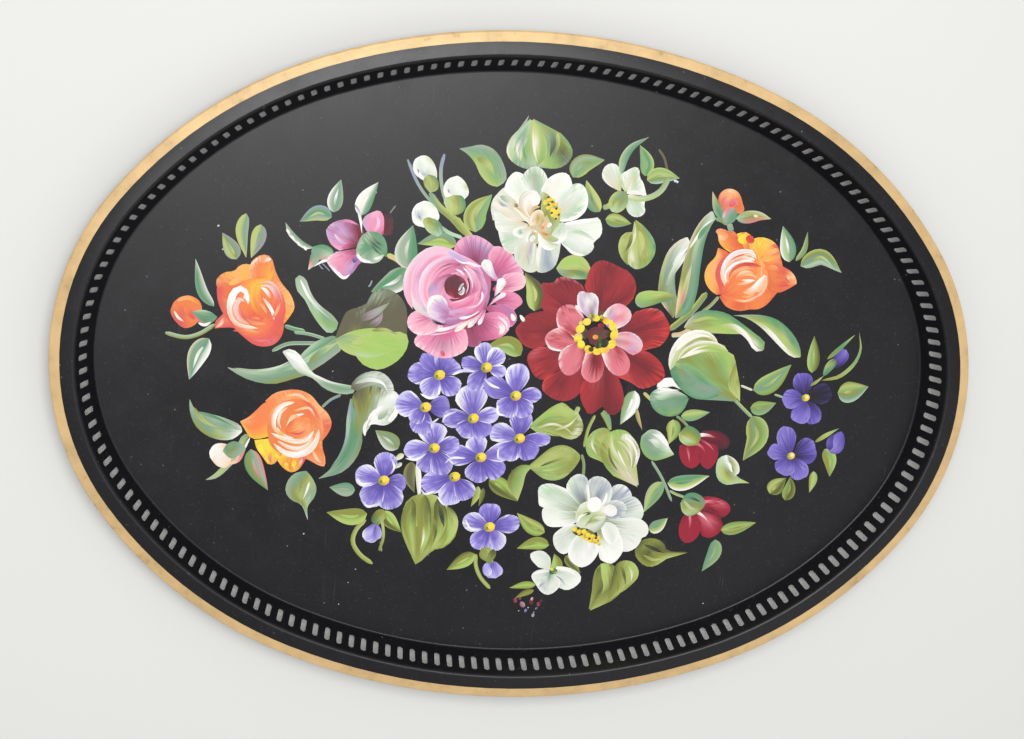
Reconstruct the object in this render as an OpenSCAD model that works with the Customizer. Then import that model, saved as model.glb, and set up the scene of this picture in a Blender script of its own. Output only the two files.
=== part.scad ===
// Oval pierced-gallery tray of painted sheet steel: one pressed pan with a curled edge over a wire,
// a gold border and a hand-painted bouquet, each flower and leaf group as its own thin paint film.
// Millimetres, Z up, origin at the middle of the underside, length along X.

/* [Tray] */
// Radius of the outline round the two ends
end_r = 160; // [156:0.5:164]
// Radius of the four curves between the ends and the sides
mid_r = 262.5; // [258:0.5:268]
// Radius of the outline along the two sides
side_r = 387.5; // [380:0.5:400]
// Height from the underside to the top of the shoulder
tray_h = 24; // [22:0.5:28]
// Thickness of the pressed sheet
sheet_t = 0.7; // [0.6:0.05:0.8]

/* [Gallery wall] */
// Distance in from the edge to the shoulder
shoulder_in = 15; // [14:0.5:17]
// Distance in from the edge to the fold of the floor
fold_in = 24; // [23:0.5:27]
// Inner radius of the fold between floor and wall
fold_r = 1.4; // [1:0.1:2]
// Radius of the rounded shoulder, at the middle of the sheet
shoulder_r = 1.9; // [1.5:0.1:2.5]
// Number of slots round each end
end_slots = 22; // [12:1:24]
// Number of slots in each of the four curves between
mid_slots = 17; // [9:1:18]
// Number of slots along each side
side_slots = 33; // [18:1:35]
// Width of one slot
slot_w = 3.5; // [2.5:0.1:4]
// Length of one slot, up the wall
slot_l = 12; // [8:0.5:13]

/* [Edge] */
// Radius of the wire inside the curled edge
wire_r = 0.75; // [0.5:0.05:0.8]
// Gap between the wire and the curl
wire_gap = 0.07; // [0.06:0.01:0.1]
// How far the top of the curled edge lies below the shoulder
edge_drop = 2.2; // [1.5:0.1:3]
// Where the gold begins on the flange: 0 at the shoulder, 1 at the curl
gold_from = 0.58; // [0.5:0.02:0.6]
// Thickness of the gold border
gold_t = 0.12; // [0.08:0.01:0.2]

/* [Paint] */
// Thickness of the flowers
bloom_t = 0.3; // [0.2:0.05:0.5]
// Thickness of the leaves and stems
leaf_t = 0.15; // [0.1:0.05:0.2]
// Bare line left between one painted layer and the next
paint_gap = 0.3; // [0.2:0.1:0.6]

/* [Hidden] */
$fn = 48;

// The outline is an oval of eight arcs that run smoothly into one another: one at each end, one along
// each side and four between. These are the directions of the two joints in a quarter, seen from the
// arcs' centres, as unit vectors; the lengths come to 286 mm by 209 mm from the middle.
end_dir = [0.8, 0.6];
side_dir = [0.352, 0.936];
end_c = [end_dir[0] * (mid_r - end_r) + side_dir[0] * (side_r - mid_r), 0];
mid_c = end_c - (mid_r - end_r) * end_dir;
side_c = mid_c - (side_r - mid_r) * side_dir;

// Each arc of the oval: centre, radius, direction of its first and last joint, number of slots.
function flip_x(v) = [-v[0], v[1]];
function flip_y(v) = [v[0], -v[1]];
ARCS = [
    [end_c, end_r, flip_y(end_dir), end_dir, end_slots],
    [mid_c, mid_r, end_dir, side_dir, mid_slots],
    [side_c, side_r, side_dir, flip_x(side_dir), side_slots],
    [flip_x(mid_c), mid_r, flip_x(side_dir), flip_x(end_dir), mid_slots],
    [-end_c, end_r, flip_x(end_dir), -end_dir, end_slots],
    [-mid_c, mid_r, -end_dir, -side_dir, mid_slots],
    [-side_c, side_r, -side_dir, flip_y(side_dir), side_slots],
    [flip_y(mid_c), mid_r, flip_y(side_dir), flip_y(end_dir), mid_slots]];

// Section of the sheet, as the line along its middle: x runs inward from the edge as a negative number.
curl_r = wire_r + wire_gap + sheet_t / 2;
curl_c = [-curl_r - sheet_t / 2 - gold_t, tray_h - edge_drop - curl_r - sheet_t / 2];
fold_mid_r = fold_r + sheet_t / 2;
top_z = tray_h - sheet_t / 2;
lean = atan2(fold_in - shoulder_in, tray_h);
fold_c = [-fold_in - fold_mid_r * tan(45 - lean / 2), sheet_t / 2 + fold_mid_r];
shoulder_c = [-shoulder_in + shoulder_r * 0.7, top_z - shoulder_r];
flange_from = shoulder_c + shoulder_r * [0.17, 0.985];
flange_to = curl_c + curl_r * [0, 1];
flange_crown = 0.25;
flange_steps = 5;
curl_steps = 14;

function arc_pts(c, r, from, to, n) =
    [for (i = [0:n]) let (a = from + (to - from) * i / n) c + r * [cos(a), sin(a)]];
function between(a, b, t) = a + (b - a) * t;

// The flange from the shoulder to the curl bulges upward a little.
function flange_at(t) = between(flange_from, flange_to, t) + [0, 4 * flange_crown * t * (1 - t)];
function flange_pts(n) = [for (i = [1:n - 1]) flange_at(i / n)];

MIDLINE = concat(
    arc_pts(fold_c, fold_mid_r, -90, -lean, 5),
    arc_pts(shoulder_c, shoulder_r, 180 - lean, 80, 6),
    flange_pts(flange_steps),
    arc_pts(curl_c, curl_r, 90, -190, curl_steps));

// Both faces of a sheet, half its thickness to each side of its middle line.
function side_pts(line, d) =
    [for (i = [0:len(line) - 1])
        let (a = line[max(i - 1, 0)], b = line[min(i + 1, len(line) - 1)], u = (b - a) / norm(b - a))
        line[i] + d * [-u[1], u[0]]];
function backward(line) = [for (i = [len(line) - 1:-1:0]) line[i]];

// Section of the rim for an arc of radius r: a strip of floor, the fold, the wall and the curled edge.
strip_in = 45;
module rim_section(r) {
    upper = side_pts(MIDLINE, sheet_t / 2);
    lower = side_pts(MIDLINE, -sheet_t / 2);
    polygon(concat(
        [[r - strip_in, 0], [r - strip_in, sheet_t]],
        [for (i = [0:len(upper) - 1]) [r + upper[i][0], i == 0 ? sheet_t : upper[i][1]]],
        [for (i = [len(lower) - 1:-1:0]) [r + lower[i][0], i == 0 ? 0 : lower[i][1]]]));
}

// The middle of the floor, which ends inside the rim's strip of floor.
plate_in = 36;
module floor_plate() {
    linear_extrude(height = sheet_t)
        polygon([for (a = ARCS, i = [0:5])
            let (u = between(a[2], a[3], i / 6)) a[0] + (a[1] - plate_in) * u / norm(u)]);
}

// A section turned about the centre of an arc, and kept between the arc's two joints.
wedge_l = 500;
module sweep(arc) {
    translate(arc[0])
        intersection() {
            rotate_extrude() children();
            translate([0, 0, -1])
                linear_extrude(height = tray_h + 2)
                    polygon([[0, 0], wedge_l * arc[2], wedge_l * (arc[2] + arc[3]), wedge_l * arc[3]]);
        }
}

// The middle of the slots, a little above the middle of the wall.
wall_foot = fold_c + fold_mid_r * [cos(lean), -sin(lean)];
wall_head = shoulder_c - shoulder_r * [cos(lean), -sin(lean)];
slot_rise = 1.2;
slot_c = (wall_foot + wall_head) / 2 + slot_rise * [sin(lean), cos(lean)];

module slot() {
    linear_extrude(height = 8, center = true) {
        square([slot_w, slot_l - slot_w], center = true);
        translate([0, (slot_l - slot_w) / 2]) circle(d = slot_w);
        translate([0, -(slot_l - slot_w) / 2]) circle(d = slot_w);
    }
}

// The slots of one arc, evenly spaced between its joints, square to the leaning wall.
module arc_slots(arc) {
    first = atan2(arc[2][1], arc[2][0]);
    turn = acos(arc[2] * arc[3]);
    translate(arc[0])
        for (k = [0:arc[4] - 1])
            rotate([0, 0, first + turn * (k + 0.5) / arc[4]])
                translate([arc[1] + slot_c[0], 0, slot_c[1]])
                    rotate([90, 0, 90])
                        rotate([lean, 0, 0])
                            slot();
}

module tray_pan() {
    color("#26252b")
        union() {
            floor_plate();
            for (arc = ARCS)
                difference() {
                    sweep(arc) rim_section(arc[1]);
                    arc_slots(arc);
                }
        }
}

module rim_wire() {
    color("#8d8f93")
        for (arc = ARCS)
            sweep(arc) translate([arc[1] + curl_c[0], curl_c[1]]) circle(r = wire_r);
}

// The gold lies over the outside and top of the curl and the outer strip of the flange.
gilded_flange_pts = 2;
bare_curl_pts = 5;
module gold_section(r) {
    last = len(MIDLINE) - 1;
    first = last - curl_steps - gilded_flange_pts;
    line = concat([flange_at(gold_from)], [for (i = [first:last - bare_curl_pts]) MIDLINE[i]]);
    inner = side_pts(line, sheet_t / 2);
    outer = side_pts(line, sheet_t / 2 + gold_t);
    polygon([for (p = concat(inner, backward(outer))) [r + p[0], p[1]]]);
}

module gold_border() {
    color("#e3c48c")
        for (arc = ARCS)
            sweep(arc) gold_section(arc[1]);
}

// ---- Painted shapes ----

function turned(p, a) = [p[0] * cos(a) - p[1] * sin(a), p[0] * sin(a) + p[1] * cos(a)];

// An oval whose edge waves in and out: c centre, rx and ry half sizes, lobes, depth of the waves.
module bloom(c, rx, ry, lobes, depth, turn, grow) {
    polygon([for (i = [0:71])
        let (a = i * 5, k = 1 - depth + depth * abs(sin(lobes * a / 2)))
        c + turned([(rx * k + grow) * cos(a), (ry * k + grow) * sin(a)], turn)]);
}

// A leaf or petal stroke: round at its base, pointed at its tip.
module stroke(base, tip, w, grow = 0) {
    reach = norm(tip - base) + grow;
    u = (tip - base) / norm(tip - base);
    v = [-u[1], u[0]];
    steps = 9;
    half = [for (i = [0:steps])
        let (s = i / steps) [s, (w / 2 + grow) * sin(180 * pow(s, 0.62))]];
    polygon(concat(
        [for (i = [0:steps]) base + u * (reach * half[i][0] - grow) + v * half[i][1]],
        [for (i = [steps - 1:-1:1]) base + u * (reach * half[i][0] - grow) - v * half[i][1]]));
}

// A thin line of paint along a curve through three points, the middle one pulling it sideways.
module line_stroke(a, b, c, w) {
    steps = 10;
    mid = [for (i = [0:steps])
        let (s = i / steps) a * (1 - s) * (1 - s) + b * 2 * s * (1 - s) + c * s * s];
    polygon(concat(side_pts(mid, w / 2), backward(side_pts(mid, -w / 2))));
}

// Outlines of the flowers, in the order in which they lie over one another.
module rose_shape(g) bloom([-41, 45], 36, 38, 7, 0.08, 20, g);
module dahlia_shape(g) bloom([44, 24], 45, 47, 9, 0.16, 5, g);
module peony_shape(g) bloom([7, 95], 32, 31, 8, 0.14, 10, g);
module anemone_shape(g) bloom([55, -96], 37, 29, 9, 0.14, 0, g);
module upper_left_shape(g) bloom([-168, 34], 22, 27, 6, 0.12, 15, g);
module lower_left_shape(g) bloom([-142, -45], 25, 25, 5, 0.12, 40, g);
module right_shape(g) bloom([138, 71], 27, 24, 5, 0.14, 20, g);

module big_blooms(g) {
    rose_shape(g);
    dahlia_shape(g);
    peony_shape(g);
    anemone_shape(g);
    upper_left_shape(g);
    lower_left_shape(g);
    right_shape(g);
}

// Middle and size of each violet, tulip, bud and blossom.
LIGHT_VIOLETS = [[-52, -5, 19], [-22, 0, 13], [-3, -16, 17], [-59, -27, 16], [-29, -31, 17],
    [2, -43, 17], [-52, -52, 16], [-22, -57, 16], [-38, -71, 17], [-82, -75, 18], [-11, -103, 17],
    [-86, -108, 7]];
DARK_VIOLETS = [[186, -6, 16], [181, -46, 15], [205, 20, 6], [211, -37, 6]];
TULIPS = [[-117, 79, 11, 9], [-117, 60, 10, 9], [-101, 87, 8, 9], [-92, 86, 6, 9]];
ORANGE_BUDS = [[-208, 25, 9, 10], [122, 113, 9, 10], [-183, -63, 7, 8]];
WHITE_BUDS = [[-71, 120, 7, 9], [-51, 110, 8, 9], [-69, 94, 8, 8]];
WHITE_BLOSSOMS = [[44, 125, 6, 8], [59, 124, 7, 8], [61, 107, 6, 6], [23, -123, 7, 5],
    [28, -138, 8, 8], [43, -135, 8, 7]];
CRIMSON_BUDS = [[115, -49, 8, 8], [127, -45, 6, 11], [119, -98, 7, 8], [134, -84, 8, 8],
    [132, -96, 8, 6]];

module violet_shapes(list, g) for (f = list) bloom([f[0], f[1]], f[2], f[2], 5, 0.3, f[0] * 7, g);
module oval_shapes(list, g) for (f = list) bloom([f[0], f[1]], f[2], f[3], 1, 0, 0, g);

module small_blooms(g) {
    oval_shapes(TULIPS, g);
    oval_shapes(ORANGE_BUDS, g);
    oval_shapes(WHITE_BUDS, g);
    oval_shapes(WHITE_BLOSSOMS, g);
    oval_shapes(CRIMSON_BUDS, g);
}

// Leaves: base x and y, tip x and y, width.
BROAD_LEAVES = [[-80, 14, -118, 24, 40], [-86, -8, -84, -38, 22], [-54, -84, -56, -130, 32],
    [74, -123, 58, -156, 26], [88, -112, 118, -114, 18], [48, -40, 82, -71, 28], [134, 12, 92, 12, 38],
    [84, -41, 103, -49, 17], [42, -54, 11, -62, 22], [36, -28, 12, -36, 22], [66, 70, 61, 100, 24],
    [-133, -72, -128, -103, 17], [136, -50, 155, -66, 15], [-2, 128, -9, 157, 34]];
LONG_LEAVES = [[-118, 17, -181, -8, 11], [-146, 4, -104, -19, 9], [-141, 50, -116, 20, 9],
    [-104, -26, -122, -76, 13], [98, 42, 111, 107, 12], [88, 44, 98, 91, 11], [70, 50, 97, 53, 9],
    [151, 25, 101, 37, 12], [178, 20, 131, 43, 11], [-167, -50, -190, -80, 7], [-176, -48, -203, -30, 13]];
SMALL_LEAVES = [[-124, 91, -121, 111, 9], [-108, 89, -99, 111, 10], [-126, 86, -147, 83, 9],
    [-125, 68, -136, 55, 11], [-77, 60, -75, 86, 13], [-80, 58, -98, 44, 12], [-49, 77, -70, 76, 9],
    [-25, 118, -51, 135, 16], [-36, 85, -29, 108, 13], [19, 124, 38, 135, 11], [37, 102, 29, 121, 8],
    [17, 66, 40, 61, 14], [4, 38, -3, 61, 11], [-3, 11, -22, 17, 10], [65, 127, 60, 145, 8],
    [67, 125, 86, 128, 9], [43, 98, 59, 97, 8], [165, 80, 157, 102, 9], [168, 81, 174, 100, 4],
    [188, 10, 187, 33, 8], [152, -4, 173, 13, 12], [151, -16, 166, -12, 9], [152, -21, 150, -50, 15],
    [207, -2, 227, 2, 13], [204, -41, 209, -58, 8], [198, -56, 197, -69, 5], [182, -74, 182, -61, 8],
    [171, -72, 179, -62, 9], [142, -98, 162, -92, 8], [96, -68, 88, -88, 9], [102, -70, 127, -62, 10],
    [93, -100, 103, -92, 9], [138, -105, 131, -126, 9], [0, -61, 13, -85, 16], [-15, -73, 4, -84, 10],
    [22, -104, 7, -94, 9], [26, -113, 9, -115, 8], [33, -131, 32, -119, 7], [-64, -63, -58, -88, 9],
    [-92, -97, -115, -98, 11], [-81, -94, -68, -108, 8], [-99, -82, -114, -81, 8],
    [-22, -120, -36, -132, 8], [-74, -55, -88, -43, 10], [-193, 30, -204, 57, 6],
    [-197, 10, -204, -17, 12], [-165, -60, -154, -84, 9], [-178, 59, -188, 73, 10]];
// Stems: first point, pulling point, last point, width.
STEMS = [[[-91, -101], [-103, -117], [-84, -130], 2.5], [[-80, 126], [-66, 102], [-38, 81], 2],
    [[-60, 131], [-64, 105], [-46, 88], 1.6], [[-90, 67], [-82, 66], [-75, 57], 3],
    [[43, -52], [45, -60], [45, -66], 1.6], [[89, -54], [98, -66], [105, -79], 1.6],
    [[104, -73], [108, -76], [113, -77], 1.6], [[92, 32], [102, 38], [113, 56], 2.5],
    [[58, 113], [78, 110], [80, 128], 2.5], [[50, 128], [50, 146], [65, 151], 4.5],
    [[188, 2], [196, 9], [200, 13], 1.6], [[195, 5], [218, 10], [218, 34], 2],
    [[-220, 11], [-203, 6], [-192, 18], 2.5], [[-155, 4], [-146, 9], [-128, 10], 1.8]];

module leaf_shapes(list, g) for (f = list) stroke([f[0], f[1]], [f[2], f[3]], f[4], g);
module stem_shapes() for (s = STEMS) line_stroke(s[0], s[1], s[2], s[3]);

// One paint film on the floor: the first shape, less everything painted over it.
module film(t) {
    translate([0, 0, sheet_t])
        linear_extrude(height = t)
            difference() {
                children(0);
                if ($children > 1) children(1);
            }
}

module pink_rose() {
    color("#e790b4") film(bloom_t) rose_shape(0);
}

module red_dahlia() {
    color("#b0474b") film(bloom_t) {
        dahlia_shape(0);
        rose_shape(paint_gap);
    }
}

module white_peony() {
    color("#e9ecdf") film(bloom_t) {
        peony_shape(0);
        union() {
            rose_shape(paint_gap);
            dahlia_shape(paint_gap);
        }
    }
}

module white_anemone() {
    color("#e8ece8") film(bloom_t) anemone_shape(0);
}

module orange_rose_upper_left() {
    color("#e8794f") film(bloom_t) upper_left_shape(0);
}

module orange_rose_lower_left() {
    color("#f29a55") film(bloom_t) lower_left_shape(0);
}

module orange_rose_right() {
    color("#ef8446") film(bloom_t) right_shape(0);
}

module pink_tulips() {
    color("#d886b4") film(bloom_t) {
        oval_shapes(TULIPS, 0);
        big_blooms(paint_gap);
    }
}

module orange_buds() {
    color("#ec8a60") film(bloom_t) {
        oval_shapes(ORANGE_BUDS, 0);
        big_blooms(paint_gap);
    }
}

module white_buds() {
    color("#e4ebd2") film(bloom_t) {
        oval_shapes(WHITE_BUDS, 0);
        big_blooms(paint_gap);
    }
}

module white_blossoms() {
    color("#e9efe2") film(bloom_t) {
        oval_shapes(WHITE_BLOSSOMS, 0);
        big_blooms(paint_gap);
    }
}

module crimson_buds() {
    color("#b8354a") film(bloom_t) {
        oval_shapes(CRIMSON_BUDS, 0);
        big_blooms(paint_gap);
    }
}

module light_violets() {
    color("#a79adb") film(bloom_t) {
        violet_shapes(LIGHT_VIOLETS, 0);
        big_blooms(paint_gap);
    }
}

module dark_violets() {
    color("#5a4aa0") film(bloom_t) violet_shapes(DARK_VIOLETS, 0);
}

module all_blooms() {
    big_blooms(paint_gap);
    small_blooms(paint_gap);
    violet_shapes(LIGHT_VIOLETS, paint_gap);
    violet_shapes(DARK_VIOLETS, paint_gap);
}

module broad_leaves() {
    color("#a9c272") film(leaf_t) {
        leaf_shapes(BROAD_LEAVES, 0);
        all_blooms();
    }
}

module long_leaves() {
    color("#8fb08a") film(leaf_t) {
        leaf_shapes(LONG_LEAVES, 0);
        union() {
            all_blooms();
            leaf_shapes(BROAD_LEAVES, paint_gap);
        }
    }
}

module small_leaves() {
    color("#a3b98a") film(leaf_t) {
        leaf_shapes(SMALL_LEAVES, 0);
        union() {
            all_blooms();
            leaf_shapes(BROAD_LEAVES, paint_gap);
            leaf_shapes(LONG_LEAVES, paint_gap);
        }
    }
}

module stems() {
    color("#a5ac7a") film(leaf_t) {
        stem_shapes();
        union() {
            all_blooms();
            leaf_shapes(BROAD_LEAVES, paint_gap);
            leaf_shapes(LONG_LEAVES, paint_gap);
            leaf_shapes(SMALL_LEAVES, paint_gap);
        }
    }
}

tray_pan();
rim_wire();
gold_border();
pink_rose();
red_dahlia();
white_peony();
white_anemone();
orange_rose_upper_left();
orange_rose_lower_left();
orange_rose_right();
pink_tulips();
orange_buds();
white_buds();
white_blossoms();
crimson_buds();
light_violets();
dark_violets();
broad_leaves();
long_leaves();
small_leaves();
stems();
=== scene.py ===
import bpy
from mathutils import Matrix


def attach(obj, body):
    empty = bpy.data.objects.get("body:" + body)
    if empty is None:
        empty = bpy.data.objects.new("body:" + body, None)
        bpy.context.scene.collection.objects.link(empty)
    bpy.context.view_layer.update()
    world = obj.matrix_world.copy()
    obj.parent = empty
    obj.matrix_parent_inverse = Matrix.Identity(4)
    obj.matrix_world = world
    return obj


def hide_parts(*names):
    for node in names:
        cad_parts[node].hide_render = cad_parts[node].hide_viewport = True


bl_info = {
    "name": "Zhostovo Painted Tray",
    "version": (1, 0, 0),
    "blender": (4, 5, 0),
    "location": "3D View > Sidebar > Tray",
    "description": "Lacquers, gilds and paints a floral tin tray brush stroke by brush stroke",
    "category": "Add Mesh",
}

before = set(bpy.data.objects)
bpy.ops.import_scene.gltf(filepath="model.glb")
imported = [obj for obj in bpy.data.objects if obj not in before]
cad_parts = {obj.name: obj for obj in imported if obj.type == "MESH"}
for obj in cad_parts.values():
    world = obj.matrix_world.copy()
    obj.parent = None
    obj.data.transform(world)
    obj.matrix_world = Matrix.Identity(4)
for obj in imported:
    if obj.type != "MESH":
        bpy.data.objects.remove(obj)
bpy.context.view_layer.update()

import bisect
import math
import random

import bpy
from bpy.props import FloatProperty, FloatVectorProperty, IntProperty, PointerProperty
from mathutils import Matrix, Vector

MM = 0.001
FLOOR_TOP = 0.7 * MM        # upper face of the tray floor above the table
FULL = 255                  # a pigment's strongest channel

# Strokes are drawn in millimetres; these sizes choose how finely they are gridded.
SMALL_STROKE = 13
WIDE_FAN = 45
SMALL_GRID, FAN_GRID, STROKE_GRID = (6, 8), (24, 10), (14, 14)
BLADE_TIP = 0.012           # share of a blade's length cut off each pointed end
LEAST_PRESS = 0.03          # share of a stroke's width that is left at its ends
RIM_DROP = 0.6              # how much of a layer's step the edge of a stroke loses
TINT_LUCK = 0.05            # how much lighter or darker a stroke may turn out
GRAIN_LUCK = 900            # how far the bristle pattern of a stroke may be moved
CREASE = math.radians(35)
OIL_ROUGHNESS = 0.42

# Pigments on the painter's palette: one letter each, with sRGB values out of 255.
PIGMENTS = {
    "w": ("White", (250, 247, 243)), "c": ("Cream white", (243, 236, 222)),
    "v": ("Greenish white", (240, 243, 231)), "V": ("Cool grey white", (216, 223, 210)),
    "i": ("Ivory shade", (214, 206, 178)), "I": ("Straw", (214, 186, 130)),
    "s": ("Slate blue", (146, 156, 176)), "S": ("Grey mauve", (168, 150, 162)),
    "p": ("Light pink", (246, 180, 200)), "P": ("Rose pink", (236, 146, 178)),
    "q": ("Deep rose", (208, 104, 146)), "Q": ("Maroon rose", (158, 72, 104)),
    "l": ("Pale lilac", (232, 208, 228)), "L": ("Lilac", (204, 164, 206)),
    "M": ("Mauve", (178, 118, 162)), "d": ("Dark heart", (96, 48, 58)),
    "r": ("Red", (164, 48, 54)), "R": ("Bright red", (208, 56, 52)),
    "t": ("Dark red", (116, 34, 42)), "T": ("Dahlia pink", (226, 124, 136)),
    "u": ("Pale dahlia", (240, 196, 196)), "f": ("Crimson", (156, 32, 54)),
    "F": ("Dark crimson", (92, 20, 38)), "o": ("Orange", (240, 132, 74)),
    "O": ("Deep orange", (222, 96, 60)), "a": ("Apricot", (250, 178, 120)),
    "A": ("Peach", (250, 206, 172)), "y": ("Yellow", (246, 222, 70)),
    "Y": ("Golden yellow", (246, 184, 62)), "e": ("Coral", (222, 90, 84)),
    "b": ("Light violet", (194, 190, 242)), "B": ("Violet", (152, 138, 214)),
    "n": ("Deep violet", (114, 98, 188)), "N": ("Night violet", (86, 70, 156)),
    "x": ("Ink violet", (44, 36, 74)), "k": ("Lacquer black", (30, 28, 34)),
    "g": ("Leaf green", (138, 176, 102)), "G": ("Deep green", (88, 146, 104)),
    "h": ("Mint", (180, 206, 172)), "H": ("Sage", (124, 158, 130)),
    "j": ("Yellow green", (184, 196, 118)), "J": ("Olive", (140, 146, 66)),
    "z": ("Dark olive", (82, 88, 48)), "Z": ("Umber green", (100, 96, 74)),
    "m": ("Grey green", (158, 174, 150)), "D": ("Pine shade", (44, 62, 48)),
    "E": ("Bright green", (164, 198, 100)),
}


def to_linear(value):
    """Linear light for one sRGB channel between 0 and 1."""
    if value <= 0.04045:
        return value / 12.92
    return ((value + 0.055) / 1.055) ** 2.4


# ---------------------------------------------------------------- settings


class TrayPigments(bpy.types.PropertyGroup):
    """Colours on the palette that every flower and leaf is mixed from"""
    __annotations__ = {
        f"pot_{letter}": FloatVectorProperty(
            name=title, description=f"{title} on the painter's palette",
            subtype="COLOR_GAMMA", size=3, min=0.0, max=1.0,
            default=tuple(part / FULL for part in shade))
        for letter, (title, shade) in PIGMENTS.items()}


class TrayBrush(bpy.types.PropertyGroup):
    """How thickly and how coarsely the oil paint is laid"""
    film: FloatProperty(
        name="Paint film", description="Height of one layer of paint above the lacquer",
        default=0.03 * MM, unit="LENGTH")
    step: FloatProperty(
        name="Layer step", description="Height added where one stroke crosses another",
        default=0.012 * MM, unit="LENGTH")
    bristle: FloatProperty(
        name="Bristle width", description="Width of one bristle's track",
        default=0.9 * MM, unit="LENGTH")
    drag: FloatProperty(
        name="Colour drag", description="How far the bristles pull one colour into the next",
        default=0.2, min=0.0, max=1.0, subtype="FACTOR")
    relief: FloatProperty(
        name="Relief", description="Depth of the bristle tracks",
        default=0.05 * MM, unit="LENGTH")
    seed: IntProperty(
        name="Hand", description="Seed of the small differences between strokes", default=7)


class TrayFinish(bpy.types.PropertyGroup):
    """Lacquer, gilding and wear"""
    lacquer: FloatVectorProperty(
        name="Lacquer", description="Colour of the black lacquer",
        subtype="COLOR_GAMMA", size=3, min=0.0, max=1.0, default=(0.075, 0.07, 0.088))
    gold: FloatVectorProperty(
        name="Gold", description="Colour of the bronze powder border",
        subtype="COLOR_GAMMA", size=3, min=0.0, max=1.0, default=(0.9, 0.76, 0.54))
    gold_shade: FloatVectorProperty(
        name="Worn gold", description="Colour where the bronze powder is thin",
        subtype="COLOR_GAMMA", size=3, min=0.0, max=1.0, default=(0.66, 0.52, 0.32))
    dust: FloatProperty(
        name="Dust", description="How much pale dust lies on the lacquer",
        default=0.8, min=0.0, max=1.0, subtype="FACTOR")
    gloss: FloatProperty(
        name="Lacquer roughness", description="Roughness of the varnished floor",
        default=0.29, min=0.0, max=1.0, subtype="FACTOR")


class TrayRoom(bpy.types.PropertyGroup):
    """The table, the light and the camera"""
    table: FloatVectorProperty(
        name="Table", description="Colour of the table under the tray",
        subtype="COLOR_GAMMA", size=3, min=0.0, max=1.0, default=(0.9, 0.9, 0.89))
    daylight: FloatProperty(
        name="Daylight", description="Strength of the even light from all round",
        default=0.48, min=0.0)
    window: FloatProperty(
        name="Window", description="Power of the large soft light at the upper left",
        default=19.0, min=0.0, unit="POWER")
    camera: FloatVectorProperty(
        name="Camera", description="Place of the camera", subtype="TRANSLATION", unit="LENGTH",
        size=3, default=(-0.1822, 0.2167, 1.0355))
    lens: FloatProperty(
        name="Lens", description="Focal length in millimetres", default=60.3, min=1.0)


# ---------------------------------------------------------------- shader maths


class Wire:
    """One output socket; arithmetic on it adds nodes."""

    def __init__(self, mix, socket):
        self.mix = mix
        self.socket = socket

    def _math(self, operation, *values):
        return self.mix.node("ShaderNodeMath", {"operation": operation}, values)

    def __add__(self, other):
        return self._math("ADD", self, other)

    def __radd__(self, other):
        return self._math("ADD", other, self)

    def __sub__(self, other):
        return self._math("SUBTRACT", self, other)

    def __rsub__(self, other):
        return self._math("SUBTRACT", other, self)

    def __mul__(self, other):
        return self._math("MULTIPLY", self, other)

    def __rmul__(self, other):
        return self._math("MULTIPLY", other, self)

    def __abs__(self):
        return self._math("ABSOLUTE", self)

    def ramp(self, low, high, start=0.0, end=1.0):
        """Smooth climb from start to end while the value goes from low to high."""
        return self.mix.node(
            "ShaderNodeMapRange", {"interpolation_type": "SMOOTHSTEP"},
            {"Value": self, "From Min": low, "From Max": high, "To Min": start, "To Max": end},
            "Result")


class Finish:
    """A material under construction."""

    def __init__(self, name):
        self.material = bpy.data.materials.new(name)
        self.material.use_nodes = True
        self.tree = self.material.node_tree
        self.tree.nodes.clear()
        self.shader = self.tree.nodes.new("ShaderNodeBsdfPrincipled")
        output = self.tree.nodes.new("ShaderNodeOutputMaterial")
        self.tree.links.new(self.shader.outputs[0], output.inputs["Surface"])

    def node(self, kind, settings, values, output=0):
        """Any node: its settings first, then the values or links of its sockets."""
        made = self.tree.nodes.new(kind)
        for key, value in settings.items():
            setattr(made, key, value)
        pairs = values.items() if isinstance(values, dict) else enumerate(values)
        for key, value in pairs:
            self.feed(made.inputs[key], value)
        return Wire(self, made.outputs[output])

    def feed(self, socket, value):
        if isinstance(value, Wire):
            self.tree.links.new(value.socket, socket)
        else:
            socket.default_value = value

    def place(self):
        """Object coordinates in metres."""
        return self.node("ShaderNodeTexCoord", {}, (), "Object")

    def stretch(self, vector, scale, turn=(0.0, 0.0, 0.0)):
        return self.node("ShaderNodeMapping", {},
                         {"Vector": vector, "Scale": scale, "Rotation": turn}, "Vector")

    def noise(self, vector, scale=1.0, detail=3.0, roughness=0.5, warp=0.0):
        return self.node("ShaderNodeTexNoise", {"noise_dimensions": "3D"},
                         {"Vector": vector, "Scale": scale, "Detail": detail,
                          "Roughness": roughness, "Distortion": warp}, 0)

    def blend(self, factor, first, second, mode="MIX"):
        """Mix two colours."""
        made = self.tree.nodes.new("ShaderNodeMix")
        made.data_type = "RGBA"
        made.blend_type = mode
        self.feed(made.inputs[0], factor)
        self.feed(made.inputs[6], first)
        self.feed(made.inputs[7], second)
        return Wire(self, made.outputs[2])

    def surface(self, **sockets):
        """Set or link the shader's own sockets."""
        for key, value in sockets.items():
            self.feed(self.shader.inputs[key.replace("_", " ")], value)

    def bump(self, height, distance, strength=1.0):
        """Height in units of distance, read into the normal."""
        normal = self.node("ShaderNodeBump", {},
                           {"Height": height, "Distance": distance, "Strength": strength}, 0)
        self.feed(self.shader.inputs["Normal"], normal)


def shade(colour, factor=1.0):
    """Linear RGBA of an sRGB colour, lightened or darkened."""
    return tuple(min(1.0, to_linear(part) * factor) for part in colour[:3]) + (1.0,)


# ---------------------------------------------------------------- brush work


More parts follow.
